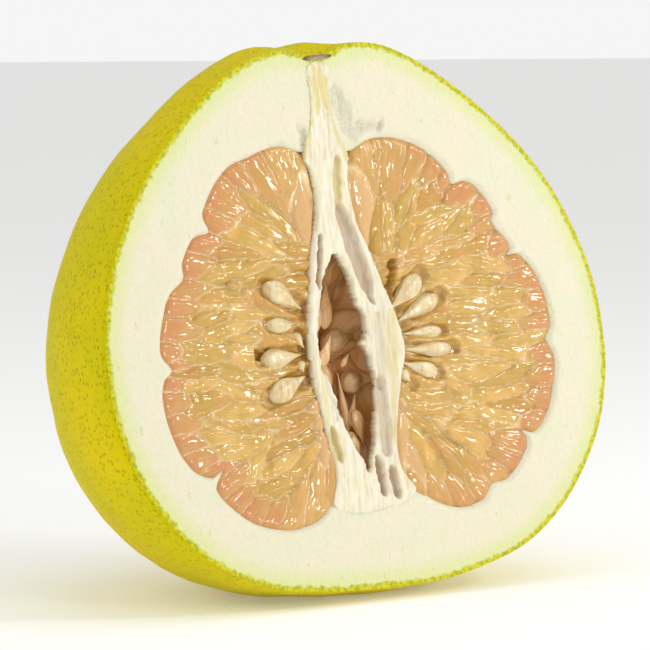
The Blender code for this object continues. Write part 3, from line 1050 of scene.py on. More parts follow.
@dataclass
class Column:
    """The white column: a neck under the stem and two strands that frame the hollow."""

    step: float = 0.34
    back: float = 2.4
    neck_left: tuple[Point, ...] = (
        (-12.6, 118.5), (-12.2, 121.0), (-11.5, 124.0), (-10.2, 127.0), (-9.2, 132.0), (-9.2, 138.0),
        (-9.0, 144.0))
    neck_right: tuple[Point, ...] = (
        (-2.6, 144.0), (-3.2, 138.0), (-2.6, 132.0), (-1.2, 126.0), (1.0, 122.0), (2.0, 119.0))
    pockets: tuple[Pocket, ...] = (
        Pocket((-9.8, 98.0), (-11.6, 84.0), 1.0, 3.4, 1.0),
        Pocket((-2.2, 105.0), (5.6, 82.5), 3.2, 2.0, 0.52),
        Pocket((4.8, 82.0), (7.0, 79.0), 0.8, 1.6, 0.5),
        Pocket((7.6, 80.0), (7.4, 34.0), 7.5, 0.0, 0.08),
        Pocket((7.6, 76.0), (7.2, 56.0), 1.8, 0.7, 0.22),
        Pocket((6.6, 58.0), (7.0, 38.0), 2.6, 1.2, 0.42),
        Pocket((3.4, 37.0), (5.0, 27.0), 1.5, 2.6, 0.75),
        Pocket((8.0, 34.0), (9.8, 26.0), 1.7, 2.2, 0.6),
        Pocket((-11.4, 46.0), (-9.0, 37.0), 1.2, 1.4, 0.3),
        Pocket((-12.8, 63.0), (-9.0, 48.0), 1.0, 0.6, 0.1),
        Pocket((-1.8, 119.0), (-3.0, 106.0), 1.5, 0.9, 0.22),
    )
    gilding: tuple[Pit, ...] = (
        ((-9.2, 141.0), (-10.4, 127.0), 0.9, 0.7), ((-10.4, 127.0), (-12.4, 119.0), 0.9, 0.6),
        ((-3.4, 141.0), (-1.2, 126.0), 1.1, 0.8), ((-1.2, 126.0), (2.2, 118.0), 1.0, 0.7),
        ((-7.2, 144.0), (-7.0, 131.0), 1.0, 0.8), ((-5.2, 144.0), (-4.2, 130.0), 1.0, 0.8),
        ((-1.6, 119.0), (-2.8, 106.0), 1.6, 0.7), ((12.6, 76.0), (11.0, 60.0), 2.4, 0.5),
        ((11.6, 60.0), (9.8, 42.0), 1.2, 0.5), ((-13.6, 66.0), (-12.0, 44.0), 0.8, 0.5),
        ((-11.4, 46.0), (-9.4, 37.0), 1.6, 0.8),
    )

    def _outline(self) -> np.ndarray:
        """Return the closed outline of column and neck.

        Returns:
            The outline, one row for each point.
        """
        right = ((1.0, 22.5), (9.0, 23.5)) + RIGHT_OUTER[-2:] + RIGHT_INNER
        left = LEFT_INNER + LEFT_OUTER[:2] + ((-8.0, 22.5),)
        knots = right + self.neck_right[::-1] + self.neck_left[::-1] + left
        return curve_rows(knots, 5)

    @staticmethod
    def _capsule(points: np.ndarray, start: Point, end: Point, reach: float) -> np.ndarray:
        """Return a soft mask, 1 along a line and 0 beyond its reach.

        Args:
            points: Places in the cut face, one row each.
            start: The line's first end.
            end: The line's other end.
            reach: The mask's half width.

        Returns:
            The mask, one value for each point.
        """
        share, away = measure_line(points, start, end)
        slim = reach * (0.55 + 0.45 * np.sqrt(np.clip(4.0 * share * (1.0 - share), 0.0, 1.0)))
        return soften(1.0 - np.clip((away - 0.4 * slim) / (0.6 * slim), 0.0, 1.0))

    def build(self) -> bmesh.types.BMesh:
        """Model the column's cut front with its grooves, pockets and ragged inner edges.

        Returns:
            The closed mesh.
        """
        outline = self._outline()
        hollow = curve_rows(HOLLOW_RIGHT[:-1] + HOLLOW_LEFT[:0:-1], 5)

        def edges(points: np.ndarray) -> tuple[np.ndarray, np.ndarray]:
            """Return each point's distance from the outline and from the hollow."""
            torn = np.array([0.55 * rough(a, 2.0, b, 1.7) + 0.3 * rough(a, 6.0, b, 0.8) for a, b in points])
            return depth_inside(points, outline), torn - depth_inside(points, hollow)

        def shape(points: np.ndarray) -> Relief:
            """Give each point its depth, and its colour values.

            Args:
                points: Places in the cut face, one row each.

            Returns:
                Depths, and stored values by name.
            """
            outer, inner = edges(points)
            free = np.clip((122.0 - points[:, 1]) / 8.0, 0.0, 1.0)
            free *= np.clip((points[:, 1] - 27.0) / 8.0, 0.0, 1.0)
            rim = np.clip(1.0 - (outer + 0.3) / 1.3, 0.0, 1.0) * free
            lip = np.clip(1.0 - inner / 1.5, 0.0, 1.0)
            depth = -0.15 + 0.9 * rim * rim + 1.5 * (1.0 - np.sqrt(1.0 - lip * lip * 0.98))
            fibre = np.array([0.34 * rough(a, 1.0, b * 0.16, 1.5) + 0.16 * rough(a, 5.0, b * 0.3, 0.8)
                              + 0.14 * rough(a, 9.0, b, 1.2) for a, b in points])
            shade, accent = np.zeros(len(points)), np.zeros(len(points))
            wave = np.array([(0.5 * rough(a, 3.0, b, 1.8), 0.0) for a, b in points])
            for pocket in self.pockets:
                mask = self._capsule(points + wave, pocket.start, pocket.end, pocket.reach)
                depth += mask * pocket.depth
                shade = np.maximum(shade, mask * pocket.shade)
            for start, end, reach, strength in self.gilding:
                gilt = self._capsule(points + wave, start, end, reach * 1.4)
                accent = np.maximum(accent, strength * gilt)
            sunk = np.clip((28.0 - points[:, 1]) / 5.0, 0.0, 1.0)
            depth = depth + fibre * (1.0 - 0.6 * sunk) + 0.3 * sunk * sunk
            return depth, {"shade": shade, "accent": accent}

        def keep(points: np.ndarray) -> np.ndarray:
            """Keep points between the outline and the ragged hollow."""
            outer, inner = edges(points)
            return (outer > -0.4) & (inner > 0.0)

        return relief_body((-17.5, 21.5), (18.5, 145.0), self.step, keep, shape, self.back,
                           ("shade", "accent"))

    def dress(self, groups: Groups) -> bpy.types.Object:
        """Build the column and give it its white tissue."""
        finishes = [COLUMN_PITH.make(groups)]
        return finish_piece("column_strands", self.build(), finishes, ["core_column"])


@dataclass(frozen=True)
class Cell:
    """One juice sac as the mosaic shows it: its middle, the way its head points, size, lift and tint."""

    middle: Vector
    forward: Vector
    half_length: float
    half_width: float
    lift: float = 0.0
    tint: float = 0.5
    calm: float = 0.0


@dataclass(frozen=True)
class MosaicLook:
    """How strongly a mosaic of sacs is modelled: seam, pillow and wrinkle heights, in millimetres."""

    crease: float = 0.4
    pillow: float = 1.0
    wrinkle: float = 0.38
    edge_round: float = 2.0
    edge_drop: float = 1.2
    taper: float = 0.3
    crease_width: float = 0.45
    seam_width: float = 0.26


class Mosaic:
    """A packed field of stretched cells, read at many points at once."""

    def __init__(self, cells: Sequence[Cell], look: MosaicLook) -> None:
        """Keep the cells and the look."""
        self.cells = cells
        self.look = look

    def read(self, points: np.ndarray) -> dict[str, np.ndarray]:
        """Find each point's sac.

        Args:
            points: Places in the cut face, one row each.

        Returns:
            Height, seam strength, tint, calm, and lowness that paints an olive shade on sunk sacs, for each
            point.
        """
        count = len(points)
        best, second = np.full(count, 1e9), np.full(count, 1e9)
        width, lift, tint, calm = (np.zeros(count) for _ in range(4))
        along, across, number, sides = (np.zeros(count) for _ in range(4))
        for index, cell in enumerate(self.cells):
            offset = points - np.array(cell.middle)
            ahead = offset @ np.array(cell.forward)
            beside = offset @ np.array((-cell.forward.y, cell.forward.x))
            share = ahead / cell.half_length
            girth = cell.half_width * (1.0 + self.look.taper * np.clip(share, -1.2, 1.0))
            away = np.sqrt(share * share + (beside / girth) ** 2)
            nearer = away < best
            second = np.where(nearer, best, np.minimum(second, away))
            best = np.where(nearer, away, best)
            for store, value in ((width, cell.half_width), (lift, cell.lift), (tint, cell.tint),
                                 (calm, cell.calm), (number, float(index))):
                store[nearer] = value
            along[nearer], across[nearer] = ahead[nearer], beside[nearer]
            sides[nearer] = ((beside / girth / np.maximum(away, 1e-6)) ** 2)[nearer]
        gap = (second - best) * width * 0.8
        look = self.look
        pillow = look.pillow * np.sqrt(np.clip(1.0 - best * best * 0.7, 0.0, 1.0))
        crease = look.crease * np.exp(-(gap / look.crease_width) ** 2) * (0.4 + 0.6 * sides)
        wrinkle = look.wrinkle * (1.0 - 0.8 * calm) * self._wrinkles(along, across, number)
        seam = np.exp(-(gap / look.seam_width) ** 2) * (0.25 + 0.75 * sides)
        # Painted shade: sacs that sit lower than their neighbours get an olive tint.
        low = np.clip(0.35 - lift * 1.4, 0.0, 1.0) * (1.0 - calm)
        height = lift + pillow - look.pillow - crease + wrinkle
        return {"height": height, "seam": seam, "tint": tint, "calm": calm, "low": low}

    @staticmethod
    def _wrinkles(along: np.ndarray, across: np.ndarray, number: np.ndarray) -> np.ndarray:
        """Read fine folds that run along each sac.

        Args:
            along: Each point's distance along its sac.
            across: Its distance beside the sac's middle line.
            number: Its sac's number, so that no two sacs fold alike.

        Returns:
            The folds' height, from about -1.5 to 1.5.
        """
        return np.array([
            noise.noise(Vector((a * 0.13, b * 0.8, n * 7.3)))
            + 0.5 * noise.noise(Vector((a * 0.22 + 9.0, b * 1.5, n * 5.1)))
            for a, b, n in zip(along, across, number)])


def depth_inside(points: np.ndarray, outline: np.ndarray) -> np.ndarray:
    """Measure how far points lie inside a closed outline.

    Args:
        points: Places in the cut face, one row each.
        outline: The outline's points, one row each.

    Returns:
        The distance to the outline, negative outside it.
    """
    nearest = np.full(len(points), 1e9)
    crossings = np.zeros(len(points), dtype=int)
    for start, end in zip(outline, np.roll(outline, -1, axis=0)):
        along = end - start
        nearest = np.minimum(nearest, measure_line(points, start, end)[1])
        above = (start[1] > points[:, 1]) != (end[1] > points[:, 1])
        rise = along[1] if abs(along[1]) > 1e-9 else 1e-9
        crossings += above & (points[:, 0] < start[0] + (points[:, 1] - start[1]) * along[0] / rise)
    return np.where(crossings % 2 == 1, nearest, -nearest)


def relief_body(low: Point, high: Point, step: float, keep: Callable[[np.ndarray], np.ndarray],
                shape: Callable[[np.ndarray], Relief], back: float, names: Sequence[str]
                ) -> bmesh.types.BMesh:
    """Model a closed body with a relief for its front.

    Args:
        low: Lowest corner of the relief in the cut face.
        high: Highest corner.
        step: Distance between the relief's points.
        keep: Tells which points belong to the body.
        shape: Gives each point's depth and stored values.
        back: Depth of the flat back.
        names: Names of the stored values.

    Returns:
        The closed mesh.
    """
    bm = bmesh.new()
    layers = {name: bm.verts.layers.float.new(name) for name in names}
    size = (high[0] - low[0], high[1] - low[1])
    bmesh.ops.create_grid(bm, x_segments=int(size[0] / step), y_segments=int(size[1] / step), size=0.5)
    for vert in bm.verts:
        vert.co = Vector((low[0] + (vert.co.x + 0.5) * size[0], 0.0, low[1] + (vert.co.y + 0.5) * size[1]))
    points = np.array([(vert.co.x, vert.co.z) for vert in bm.verts])
    inside = keep(points)
    bmesh.ops.delete(bm, geom=[vert for vert, kept in zip(bm.verts, inside) if not kept], context="VERTS")
    bmesh.ops.delete(bm, geom=[vert for vert in bm.verts if not vert.link_faces], context="VERTS")
    points = np.array([(vert.co.x, vert.co.z) for vert in bm.verts])
    depth, values = shape(points)
    for index, vert in enumerate(bm.verts):
        vert.co.y = float(depth[index])
        for name, layer in layers.items():
            vert[layer] = float(values[name][index])
    verts, ring, _ = extrude_ring(bm, [edge for edge in bm.edges if edge.is_boundary])
    for vert in verts:
        vert.co.y = back
    bmesh.ops.triangle_fill(bm, edges=ring, use_beauty=False)
    return bm


@dataclass
class Carpel:
    """One opened carpel, filled with juice sacs that point at the column."""

    side: Side
    outline: tuple[Point, ...]
    root_low: Point
    root_high: Point
    bulbs: tuple[Bulb, ...]
    skins: tuple[Skin, ...]
    pits: tuple[Pit, ...]
    seed: int
    tries: int = 5200
    from_edge: float = 2.5
    crowding: float = 0.62
    bed: float = 16.0
    step: float = 0.36
    cells: list[Cell] = field(default_factory=list)

    def _root(self, point: Vector) -> Vector:
        """Return the place at the column that a point's sac points to.

        Args:
            point: A place in the cut face.

        Returns:
            The place.
        """
        low, high = Vector(self.root_low), Vector(self.root_high)
        along = high - low
        share = max(0.0, min(1.0, (point - low).dot(along) / along.length_squared))
        return low + along * share

    def plan(self) -> None:
        """Place the border bulbs, the smooth membranes, and fill the rest with sacs."""
        dice = random.Random(self.seed)
        for across, up, width, tint in self.bulbs:
            head = Vector((across, up))
            inward = (self._root(head) - head).normalized()
            half = dice.uniform(0.85, 1.35) * width
            self.cells.append(Cell(head + inward * half * 0.55, -inward, half, width * 0.5,
                                   dice.uniform(0.0, 0.45), tint, 0.35))
        for across, up, lean, half_length, half_width, tint in self.skins:
            turn = math.radians(lean)
            self.cells.append(Cell(Vector((across, up)), Vector((math.sin(turn), math.cos(turn))),
                                   half_length, half_width, 0.35, tint, 1.0))
        outline = curve_rows(self.outline, 4)
        low, high = outline.min(axis=0), outline.max(axis=0)
        tries = np.array([(dice.uniform(low[0], high[0]), dice.uniform(low[1], high[1]))
                          for _ in range(self.tries)])
        for place, inside in zip(tries, depth_inside(tries, outline)):
            if inside > self.from_edge:
                self._try_cell(dice, Vector(place), float(inside))

    def _try_cell(self, dice: random.Random, middle: Vector, inside: float) -> None:
        """Add a sac unless another one already fills its place.

        Args:
            dice: The source of random draws.
            middle: The new sac's middle.
            inside: Its distance inside the outline.
        """
        towards = middle - self._root(middle)
        reach = towards.length
        if reach < 1.5:
            return
        turn = dice.gauss(0.0, 0.14) + (dice.choice((-0.5, 0.5)) if dice.random() < 0.08 else 0.0)
        forward = towards.normalized()
        forward = Vector((forward.x * math.cos(turn) - forward.y * math.sin(turn),
                          forward.x * math.sin(turn) + forward.y * math.cos(turn)))
        half_length = dice.uniform(8.0, 17.0)
        half_width = dice.uniform(1.7, 3.2) * (0.65 + 0.35 * min(1.0, reach / 25.0))
        for cell in self.cells:
            offset = middle - cell.middle
            ahead = offset.dot(cell.forward) / (cell.half_length + half_length * 0.55)
            beside = offset.dot(Vector((-cell.forward.y, cell.forward.x))) / (cell.half_width + half_width)
            if ahead * ahead + beside * beside < self.crowding:
                return
        tint = 0.62 - inside / 34.0 + dice.uniform(-0.22, 0.22)
        self.cells.append(Cell(middle, forward, half_length, half_width, dice.gauss(0.0, 0.28),
                               max(0.0, min(0.8, tint)), 0.0))

    def build(self) -> bmesh.types.BMesh:
        """Model the carpel's cut front as a mosaic of sacs on a solid bed.

        Returns:
            The closed mesh.
        """
        self.plan()
        outline = curve_rows(self.outline, 8)
        mosaic = Mosaic(self.cells, MosaicLook())
        low = tuple(outline.min(axis=0) - 1.0)
        high = tuple(outline.max(axis=0) + 1.0)

        def keep(points: np.ndarray) -> np.ndarray:
            """Keep points inside the outline and a little beyond it."""
            return depth_inside(points, outline) > -0.6

        def shape(points: np.ndarray) -> Relief:
            """Give each point its depth, and its colour values.

            Args:
                points: Places in the cut face, one row each.

            Returns:
                Depths, and stored values by name.
            """
            wave = waves(points, 2.6)
            read = mosaic.read(points + 0.55 * wave)
            inside = depth_inside(points, outline)
            look = mosaic.look
            edge = np.clip(1.0 - (inside + 0.4) / look.edge_round, 0.0, 1.0)
            depth = 0.5 - read["height"] + look.edge_drop * (1.0 - np.sqrt(1.0 - edge * edge * 0.98))
            shade = np.zeros(len(points))
            for start, end, reach, deep in self.pits:
                away = measure_line(points, start, end)[1] + 0.5 * wave[:, 0]
                dent = soften(1.0 - np.clip((away - 0.45 * reach) / (0.4 * reach), 0.0, 1.0))
                depth += dent * deep
                shade = np.maximum(shade, dent * min(1.0, deep / 4.0))
            off_column = np.clip((np.abs(points[:, 0]) - 17.0) / 14.0, 0.0, 1.0)
            values = {"along": np.clip(1.0 - inside / 13.0, 0.0, 1.0) * off_column, "tint": read["tint"],
                      "seam": read["seam"], "calm": read["calm"], "low": read["low"], "shade": shade}
            return depth, values

        return relief_body(low, high, self.step, keep, shape, self.bed, SAC_VALUES)

    def dress(self, sac: bpy.types.Material) -> bpy.types.Object:
        """Build the carpel and give it the finish of juice sacs."""
        name = self.side.value
        return finish_piece(f"{name}_sacs", self.build(), [sac], [f"{name}_segment"])


CARPELS: tuple[Carpel, ...] = (
    Carpel(Side.LEFT, LEFT_OUTER + LEFT_INNER, (-12.0, 47.0), (-11.0, 93.0), LEFT_BULBS, LEFT_SKINS,
           LEFT_PITS, 11),
    Carpel(Side.RIGHT, RIGHT_OUTER + RIGHT_INNER, (12.0, 50.0), (11.0, 88.0), RIGHT_BULBS, RIGHT_SKINS,
           RIGHT_PITS, 23),
)


@dataclass(frozen=True)
class SeedShape:
    """One seed: pointed end, round end, width, thickness and depth behind the cut face."""

    node: str
    pointed: Point
    rounded: Point
    width: float
    thickness: float
    depth: float

    def build(self) -> bmesh.types.BMesh:
        """Model the seed with a pointed end, a plump body and fine ridges.

        Returns:
            The closed mesh.
        """
        bm = bmesh.new()
        shade = bm.verts.layers.float.new("shade")
        bmesh.ops.create_uvsphere(bm, u_segments=40, v_segments=28, radius=1.0)
        start = Vector(self.pointed)
        along = Vector(self.rounded) - start
        for vert in bm.verts:
            share = (vert.co.z + 1.0) / 2.0
            around = math.atan2(vert.co.y, vert.co.x)
            fullness = 0.26 + 0.94 * math.sin(min(1.0, share * 1.25) * math.pi / 2.0) ** 2.0
            ridge = 1.0 + 0.045 * math.sin(around * 7.0 + 3.0 * share + self.width * 9.0)
            ridge += 0.05 * rough(vert.co.x * 2.0, vert.co.y * 2.0, share * 3.0, 1.0)
            vert[shade] = 0.35 * smooth_step(0.25, 0.0, share)
            vert.co.x *= self.width / 2.0 * fullness * ridge
            vert.co.y *= self.thickness / 2.0 * fullness * ridge
            vert.co.z *= along.length / 2.0
        turn = math.atan2(along.x, along.y)
        middle = start + along / 2.0
        bmesh.ops.rotate(bm, verts=bm.verts, matrix=Matrix.Rotation(turn, 3, "Y"))
        bmesh.ops.translate(bm, verts=bm.verts, vec=(middle.x, self.depth, middle.y))
        return bm

    def dress(self, coat: bpy.types.Material) -> bpy.types.Object:
        """Build the seed and give it its coat."""
        return finish_piece(f"{self.node}_coat", self.build(), [coat], [self.node])


SEEDS: tuple[SeedShape, ...] = (
    SeedShape("seed_left_1", (-16.4, 78.6), (-29.0, 85.4), 6.6, 4.6, 2.3),
    SeedShape("seed_left_2", (-17.6, 74.2), (-29.2, 74.6), 4.6, 4.0, 2.3),
    SeedShape("seed_left_3", (-17.8, 66.4), (-31.6, 65.2), 5.6, 4.4, 2.3),
    SeedShape("seed_left_4", (-17.0, 60.6), (-29.6, 55.0), 6.6, 4.6, 2.3),
    SeedShape("seed_left_5", (-17.4, 68.0), (-20.6, 72.2), 2.4, 2.2, 1.3),
    SeedShape("seed_left_6", (-18.2, 61.6), (-19.4, 64.6), 2.4, 2.2, 1.3),
    SeedShape("seed_right_1", (14.0, 77.0), (25.4, 85.8), 6.2, 4.4, 2.4),
    SeedShape("seed_right_2", (16.2, 73.6), (31.2, 80.0), 5.2, 4.2, 2.4),
    SeedShape("seed_right_3", (17.6, 70.2), (31.4, 70.4), 3.8, 3.6, 2.3),
    SeedShape("seed_right_4", (17.6, 65.8), (34.4, 65.4), 4.4, 4.0, 2.3),
    SeedShape("seed_right_5", (16.6, 62.2), (28.6, 58.8), 4.6, 4.0, 2.3),
    SeedShape("seed_right_6", (18.6, 56.4), (15.4, 60.2), 3.0, 2.6, 1.6),
    SeedShape("seed_hollow_1", (9.6, 60.4), (1.2, 56.8), 6.0, 4.6, 10.0),
    SeedShape("seed_hollow_2", (9.2, 71.2), (-3.2, 68.8), 6.6, 5.0, 12.0),
)


# Loose membranes and sac tails in the hollow, as thin blades.
BLADES: tuple[SeedShape, ...] = (
    SeedShape("left_flap", (-5.4, 71.0), (-9.8, 62.5), 3.4, 0.9, 4.6),
    SeedShape("left_tissue", (-8.2, 48.0), (-10.2, 58.5), 4.0, 1.2, 3.0),
    SeedShape("upper_fold", (-7.4, 84.0), (-11.0, 71.0), 5.0, 2.4, 6.5),
    SeedShape("stalk", (-1.2, 61.0), (0.8, 44.5), 2.2, 1.8, 8.5),
    SeedShape("branch", (3.6, 55.0), (0.8, 46.0), 2.0, 1.4, 7.5),
    SeedShape("low_tail", (-5.4, 53.0), (-2.2, 44.5), 3.0, 1.6, 7.0),
    SeedShape("low_fold", (-3.4, 45.5), (2.4, 41.0), 4.2, 2.0, 7.5),
    SeedShape("right_fold", (4.2, 41.0), (2.0, 50.5), 4.0, 2.0, 6.5),
    SeedShape("foot_fold", (1.2, 34.5), (-0.4, 43.5), 3.6, 2.0, 5.5),
    SeedShape("small_tail", (1.4, 66.0), (-1.6, 62.4), 1.6, 1.0, 6.0),
    SeedShape("back_fold", (-2.2, 86.0), (-4.0, 73.0), 4.4, 2.4, 9.0),
    SeedShape("mid_fold", (-8.0, 68.0), (-4.6, 56.0), 5.0, 2.6, 9.0),
)


def gather(shapes: Sequence[SeedShape]) -> bmesh.types.BMesh:
    """Model several blades in one mesh.

    Args:
        shapes: The blades.

    Returns:
        The mesh.
    """
    whole = bmesh.new()
    for shape in shapes:
        part = shape.build()
        mesh = bpy.data.meshes.new(shape.node)
        part.to_mesh(mesh)
        part.free()
        whole.from_mesh(mesh)
        bpy.data.meshes.remove(mesh)
    return whole


@dataclass
class Hollow:
    """What shows through the hollow: the crumpled inner ends of the uncut carpels behind it."""

    middle: Point = (-2.6, 63.0)
    half_size: Point = (14.5, 34.0)
    deepest: float = 15.0
    shallowest: float = 2.7
    tries: int = 1500
    crowding: float = 0.6
    bed: float = 26.0
    look: MosaicLook = MosaicLook(crease=1.0, pillow=2.0, wrinkle=0.5)
    step: float = 0.36
    seed: int = 5
    cells: list[Cell] = field(default_factory=list)

    def plan(self) -> None:
        """Scatter folded sac ends that lean up and down the hollow."""
        dice = random.Random(self.seed)
        for _ in range(self.tries):
            middle = Vector((dice.uniform(-16.0, 11.0), dice.uniform(29.0, 97.0)))
            turn = dice.gauss(0.0, 0.55) + (math.pi if dice.random() < 0.5 else 0.0)
            forward = Vector((math.sin(turn), math.cos(turn)))
            half_length, half_width = dice.uniform(5.0, 10.0), dice.uniform(2.0, 3.8)
            if all(self._apart(cell, middle, half_length, half_width) for cell in self.cells):
                self.cells.append(Cell(middle, forward, half_length, half_width, dice.gauss(0.0, 1.3),
                                       dice.random(), dice.choice((0.0, 0.6))))

    def _apart(self, cell: Cell, middle: Vector, half_length: float, half_width: float) -> bool:
        """Tell whether a new fold would keep its distance from a cell.

        Args:
            cell: A sac that is already there.
            middle: The new sac's middle.
            half_length: The new sac's half length.
            half_width: The new sac's half width.

        Returns:
            True if they keep apart.
        """
        offset = middle - cell.middle
        ahead = offset.dot(cell.forward) / (cell.half_length + half_length * 0.4)
        beside = offset.dot(Vector((-cell.forward.y, cell.forward.x))) / (cell.half_width + half_width)
        return ahead * ahead + beside * beside > self.crowding

    def build(self) -> bmesh.types.BMesh:
        """Model the hollow's back wall as a folded bowl.

        Returns:
            The closed mesh.
        """
        self.plan()
        mosaic = Mosaic(self.cells, self.look)

        def reach(points: np.ndarray) -> np.ndarray:
            """Return each point's distance from the hollow's middle as a share of its size."""
            return np.hypot((points[:, 0] - self.middle[0]) / self.half_size[0],
                            (points[:, 1] - self.middle[1]) / self.half_size[1])

        def shape(points: np.ndarray) -> Relief:
            """Give each point its depth, and its colour values.

            Args:
                points: Places in the cut face, one row each.

            Returns:
                Depths, and stored values by name.
            """
            read = mosaic.read(points + 1.1 * waves(points, 4.0))
            bowl = np.sqrt(np.clip(1.0 - reach(points) ** 2, 0.0, 1.0))
            depth = self.shallowest + (self.deepest - self.shallowest) * bowl
            depth -= (read["height"] + 1.0) * (0.35 + 0.65 * bowl)
            # Painted shade: the sacs turn darker red-brown towards the deepest part of the bowl.
            values = {"along": bowl, "tint": read["tint"], "seam": read["seam"] * 0.6,
                      "calm": read["calm"], "low": read["low"], "shade": np.zeros(len(points))}
            return np.maximum(depth, self.shallowest - 0.3), values

        return relief_body((-17.6, 28.5), (12.4, 97.5), self.step,
                           lambda points: reach(points) < 1.0, shape, self.bed, SAC_VALUES)

    def dress(self, groups: Groups) -> None:
        """Build the back wall and the loose membranes, and give each its finish."""
        finish_piece("hollow_lining", self.build(), [SHADED_HOLLOW_SAC.make(groups)], ["rear_flesh"])
        finish_piece("hollow_flaps", gather(BLADES), [MEMBRANE.make(groups)])


@dataclass
class StemScar:
    """The small brown calyx scar, cut in half with the fruit."""

    centre: Point = (-5.6, 146.4)
    radius: float = 5.0
    thickness: float = 1.6

    def build(self) -> bmesh.types.BMesh:
        """Model the half disc with a rough rim.

        Returns:
            The closed mesh.
        """
        bm = bmesh.new()
        shade = bm.verts.layers.float.new("shade")
        bmesh.ops.create_uvsphere(bm, u_segments=64, v_segments=24, radius=1.0)
        bmesh.ops.scale(bm, vec=(self.radius, self.radius, self.thickness / 2.0), verts=bm.verts)
        for vert in bm.verts:
            crumb = 0.3 * rough(*vert.co, 0.9)
            vert.co.z += crumb
            middle_of = 1.0 - smooth_step(0.55, 0.85, abs(vert.co.x) / self.radius)
            vert[shade] = smooth_step(-0.3, 0.15, rough(*vert.co, 0.7)) * middle_of
        bmesh.ops.rotate(bm, verts=bm.verts, matrix=Matrix.Rotation(-STEM_TILT, 3, "Y"))
        bmesh.ops.translate(bm, verts=bm.verts, vec=(self.centre[0], 0.0, self.centre[1]))
        geometry = bm.verts[:] + bm.edges[:] + bm.faces[:]
        cut = bmesh.ops.bisect_plane(bm, geom=geometry, dist=0.001, plane_co=(0.0, -0.15, 0.0),
                                     plane_no=(0.0, -1.0, 0.0), clear_outer=True)
        rim = [item for item in cut["geom_cut"] if isinstance(item, bmesh.types.BMEdge)]
        bmesh.ops.contextual_create(bm, geom=rim)
        return bm

    def dress(self, groups: Groups) -> bpy.types.Object:
        """Build the scar and give it its crust."""
        finishes = [CALYX_CRUST.make(groups)]
        return finish_piece("stem_scar", self.build(), finishes, ["stem_button"])


@dataclass(frozen=True)
class SoftBox:
    """A square area light that faces the fruit."""

    name: str
    place: tuple[float, float, float]
    size: float
    power: float


SOFT_BOXES: tuple[SoftBox, ...] = (
    SoftBox("key", (-0.30, -0.95, 0.85), 0.16, 0.4),
    SoftBox("glint_right", (0.80, -0.66, 0.40), 0.14, 1.35),
    SoftBox("glint_front", (0.16, -1.05, 0.34), 0.14, 1.35),
    SoftBox("glint_high", (0.50, -0.70, 0.66), 0.14, 1.3),
    SoftBox("glint_low", (0.62, -0.95, 0.03), 0.07, 0.45),
    SoftBox("top", (0.1, -0.1, 1.1), 0.8, 1.2),
    SoftBox("side", (-1.0, 0.1, 0.45), 0.5, 1.3),
)


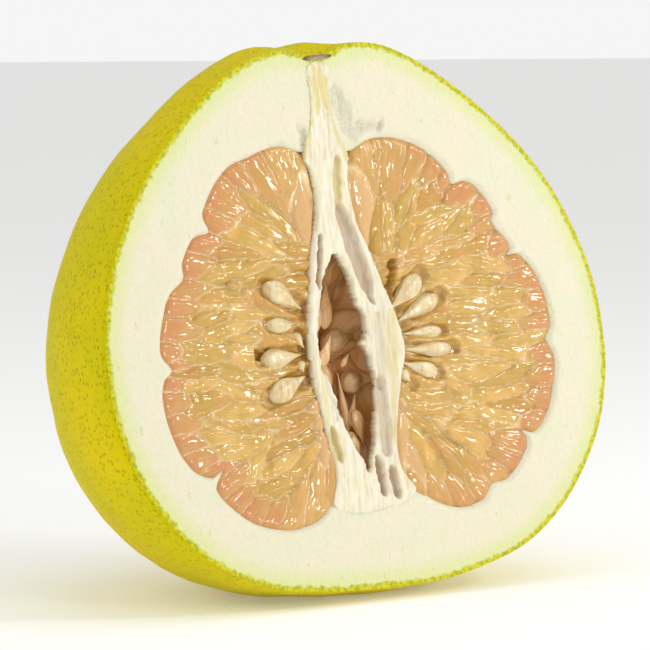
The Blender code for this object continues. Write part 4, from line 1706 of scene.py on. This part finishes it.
@dataclass
class Studio:
    """Plain pale floor, soft light and the camera."""

    azimuth: float = math.radians(-38.0)
    elevation: float = math.radians(4.5)
    distance: float = 1.0
    lens: float = 208.2
    target: tuple[float, float, float] = (-0.02370766, -0.034, 0.07614674)
    lights_aim: tuple[float, float, float] = (0.0, -0.02, 0.075)
    surround: float = 0.62
    shown_extra: float = 0.30

    def camera(self) -> None:
        """Place the camera at the viewing angle of the real fruit."""
        data = bpy.data.cameras.new("camera")
        data.lens = self.lens
        data.sensor_width = 36.0
        camera = bpy.data.objects.new("camera", data)
        towards = Vector((math.sin(self.azimuth) * math.cos(self.elevation),
                          -math.cos(self.azimuth) * math.cos(self.elevation), math.sin(self.elevation)))
        camera.location = Vector(self.target) + towards * self.distance
        camera.rotation_euler = (-towards).to_track_quat("-Z", "Y").to_euler()
        bpy.context.scene.collection.objects.link(camera)
        bpy.context.scene.camera = camera

    def floor(self) -> None:
        """Lay a large pale floor under the fruit."""
        bm = bmesh.new()
        bmesh.ops.create_grid(bm, x_segments=1, y_segments=1, size=14.0)
        mesh = bpy.data.meshes.new("floor")
        bm.to_mesh(mesh)
        bm.free()
        material = bpy.data.materials.new("floor_paper")
        material.use_nodes = True
        shader = material.node_tree.nodes["Principled BSDF"]
        shader.inputs["Base Color"].default_value = (0.95, 0.95, 0.94, 1.0)
        shader.inputs["Roughness"].default_value = 0.9
        shader.inputs["Specular IOR Level"].default_value = 0.1
        shader.inputs["Emission Color"].default_value = (1.0, 1.0, 1.0, 1.0)
        shader.inputs["Emission Strength"].default_value = 0.17
        mesh.materials.append(material)
        floor = bpy.data.objects.new("floor", mesh)
        bpy.context.scene.collection.objects.link(floor)

    def lights(self) -> None:
        """Hang soft boxes and a bright, even surround."""
        world = bpy.data.worlds.new("surround")
        world.use_nodes = True
        nodes = Nodes(world.node_tree)
        shown = world.node_tree.nodes["Background"]
        shown.inputs["Color"].default_value = (1.0, 1.0, 1.0, 1.0)
        seen = nodes.add("ShaderNodeLightPath").outputs["Is Camera Ray"]
        extra = nodes.math("MULTIPLY", seen, self.shown_extra)
        nodes.feed(shown.inputs["Strength"], nodes.math("ADD", self.surround, extra))
        bpy.context.scene.world = world
        for box in SOFT_BOXES:
            data = bpy.data.lights.new(box.name, "AREA")
            data.size = box.size
            data.energy = box.power
            light = bpy.data.objects.new(box.name, data)
            light.location = box.place
            aim = Vector(self.lights_aim) - Vector(box.place)
            light.rotation_euler = aim.to_track_quat("-Z", "Y").to_euler()
            bpy.context.scene.collection.objects.link(light)
        bpy.context.scene.view_settings.view_transform = "Standard"

    def build(self) -> None:
        """Set up camera, floor and lights."""
        self.camera()
        self.floor()
        self.lights()


def main() -> None:
    """Build every piece in order and report it."""
    logging.basicConfig(level=logging.INFO, format="%(message)s")
    groups = Groups()
    Studio().build()
    Peel(FruitSkin()).dress(groups)
    Column().dress(groups)
    sac = SacFinish().make(groups)
    for carpel in CARPELS:
        carpel.dress(sac)
    Hollow().dress(groups)
    coat, shaded_coat = SEED_COAT.make(groups), SHADED_SEED_COAT.make(groups)
    for seed in SEEDS:
        # Seeds in the hollow take the seed coat with painted shade.
        seed.dress(shaded_coat if "hollow" in seed.node else coat)
    StemScar().dress(groups)


if __name__ == "__main__":
    main()
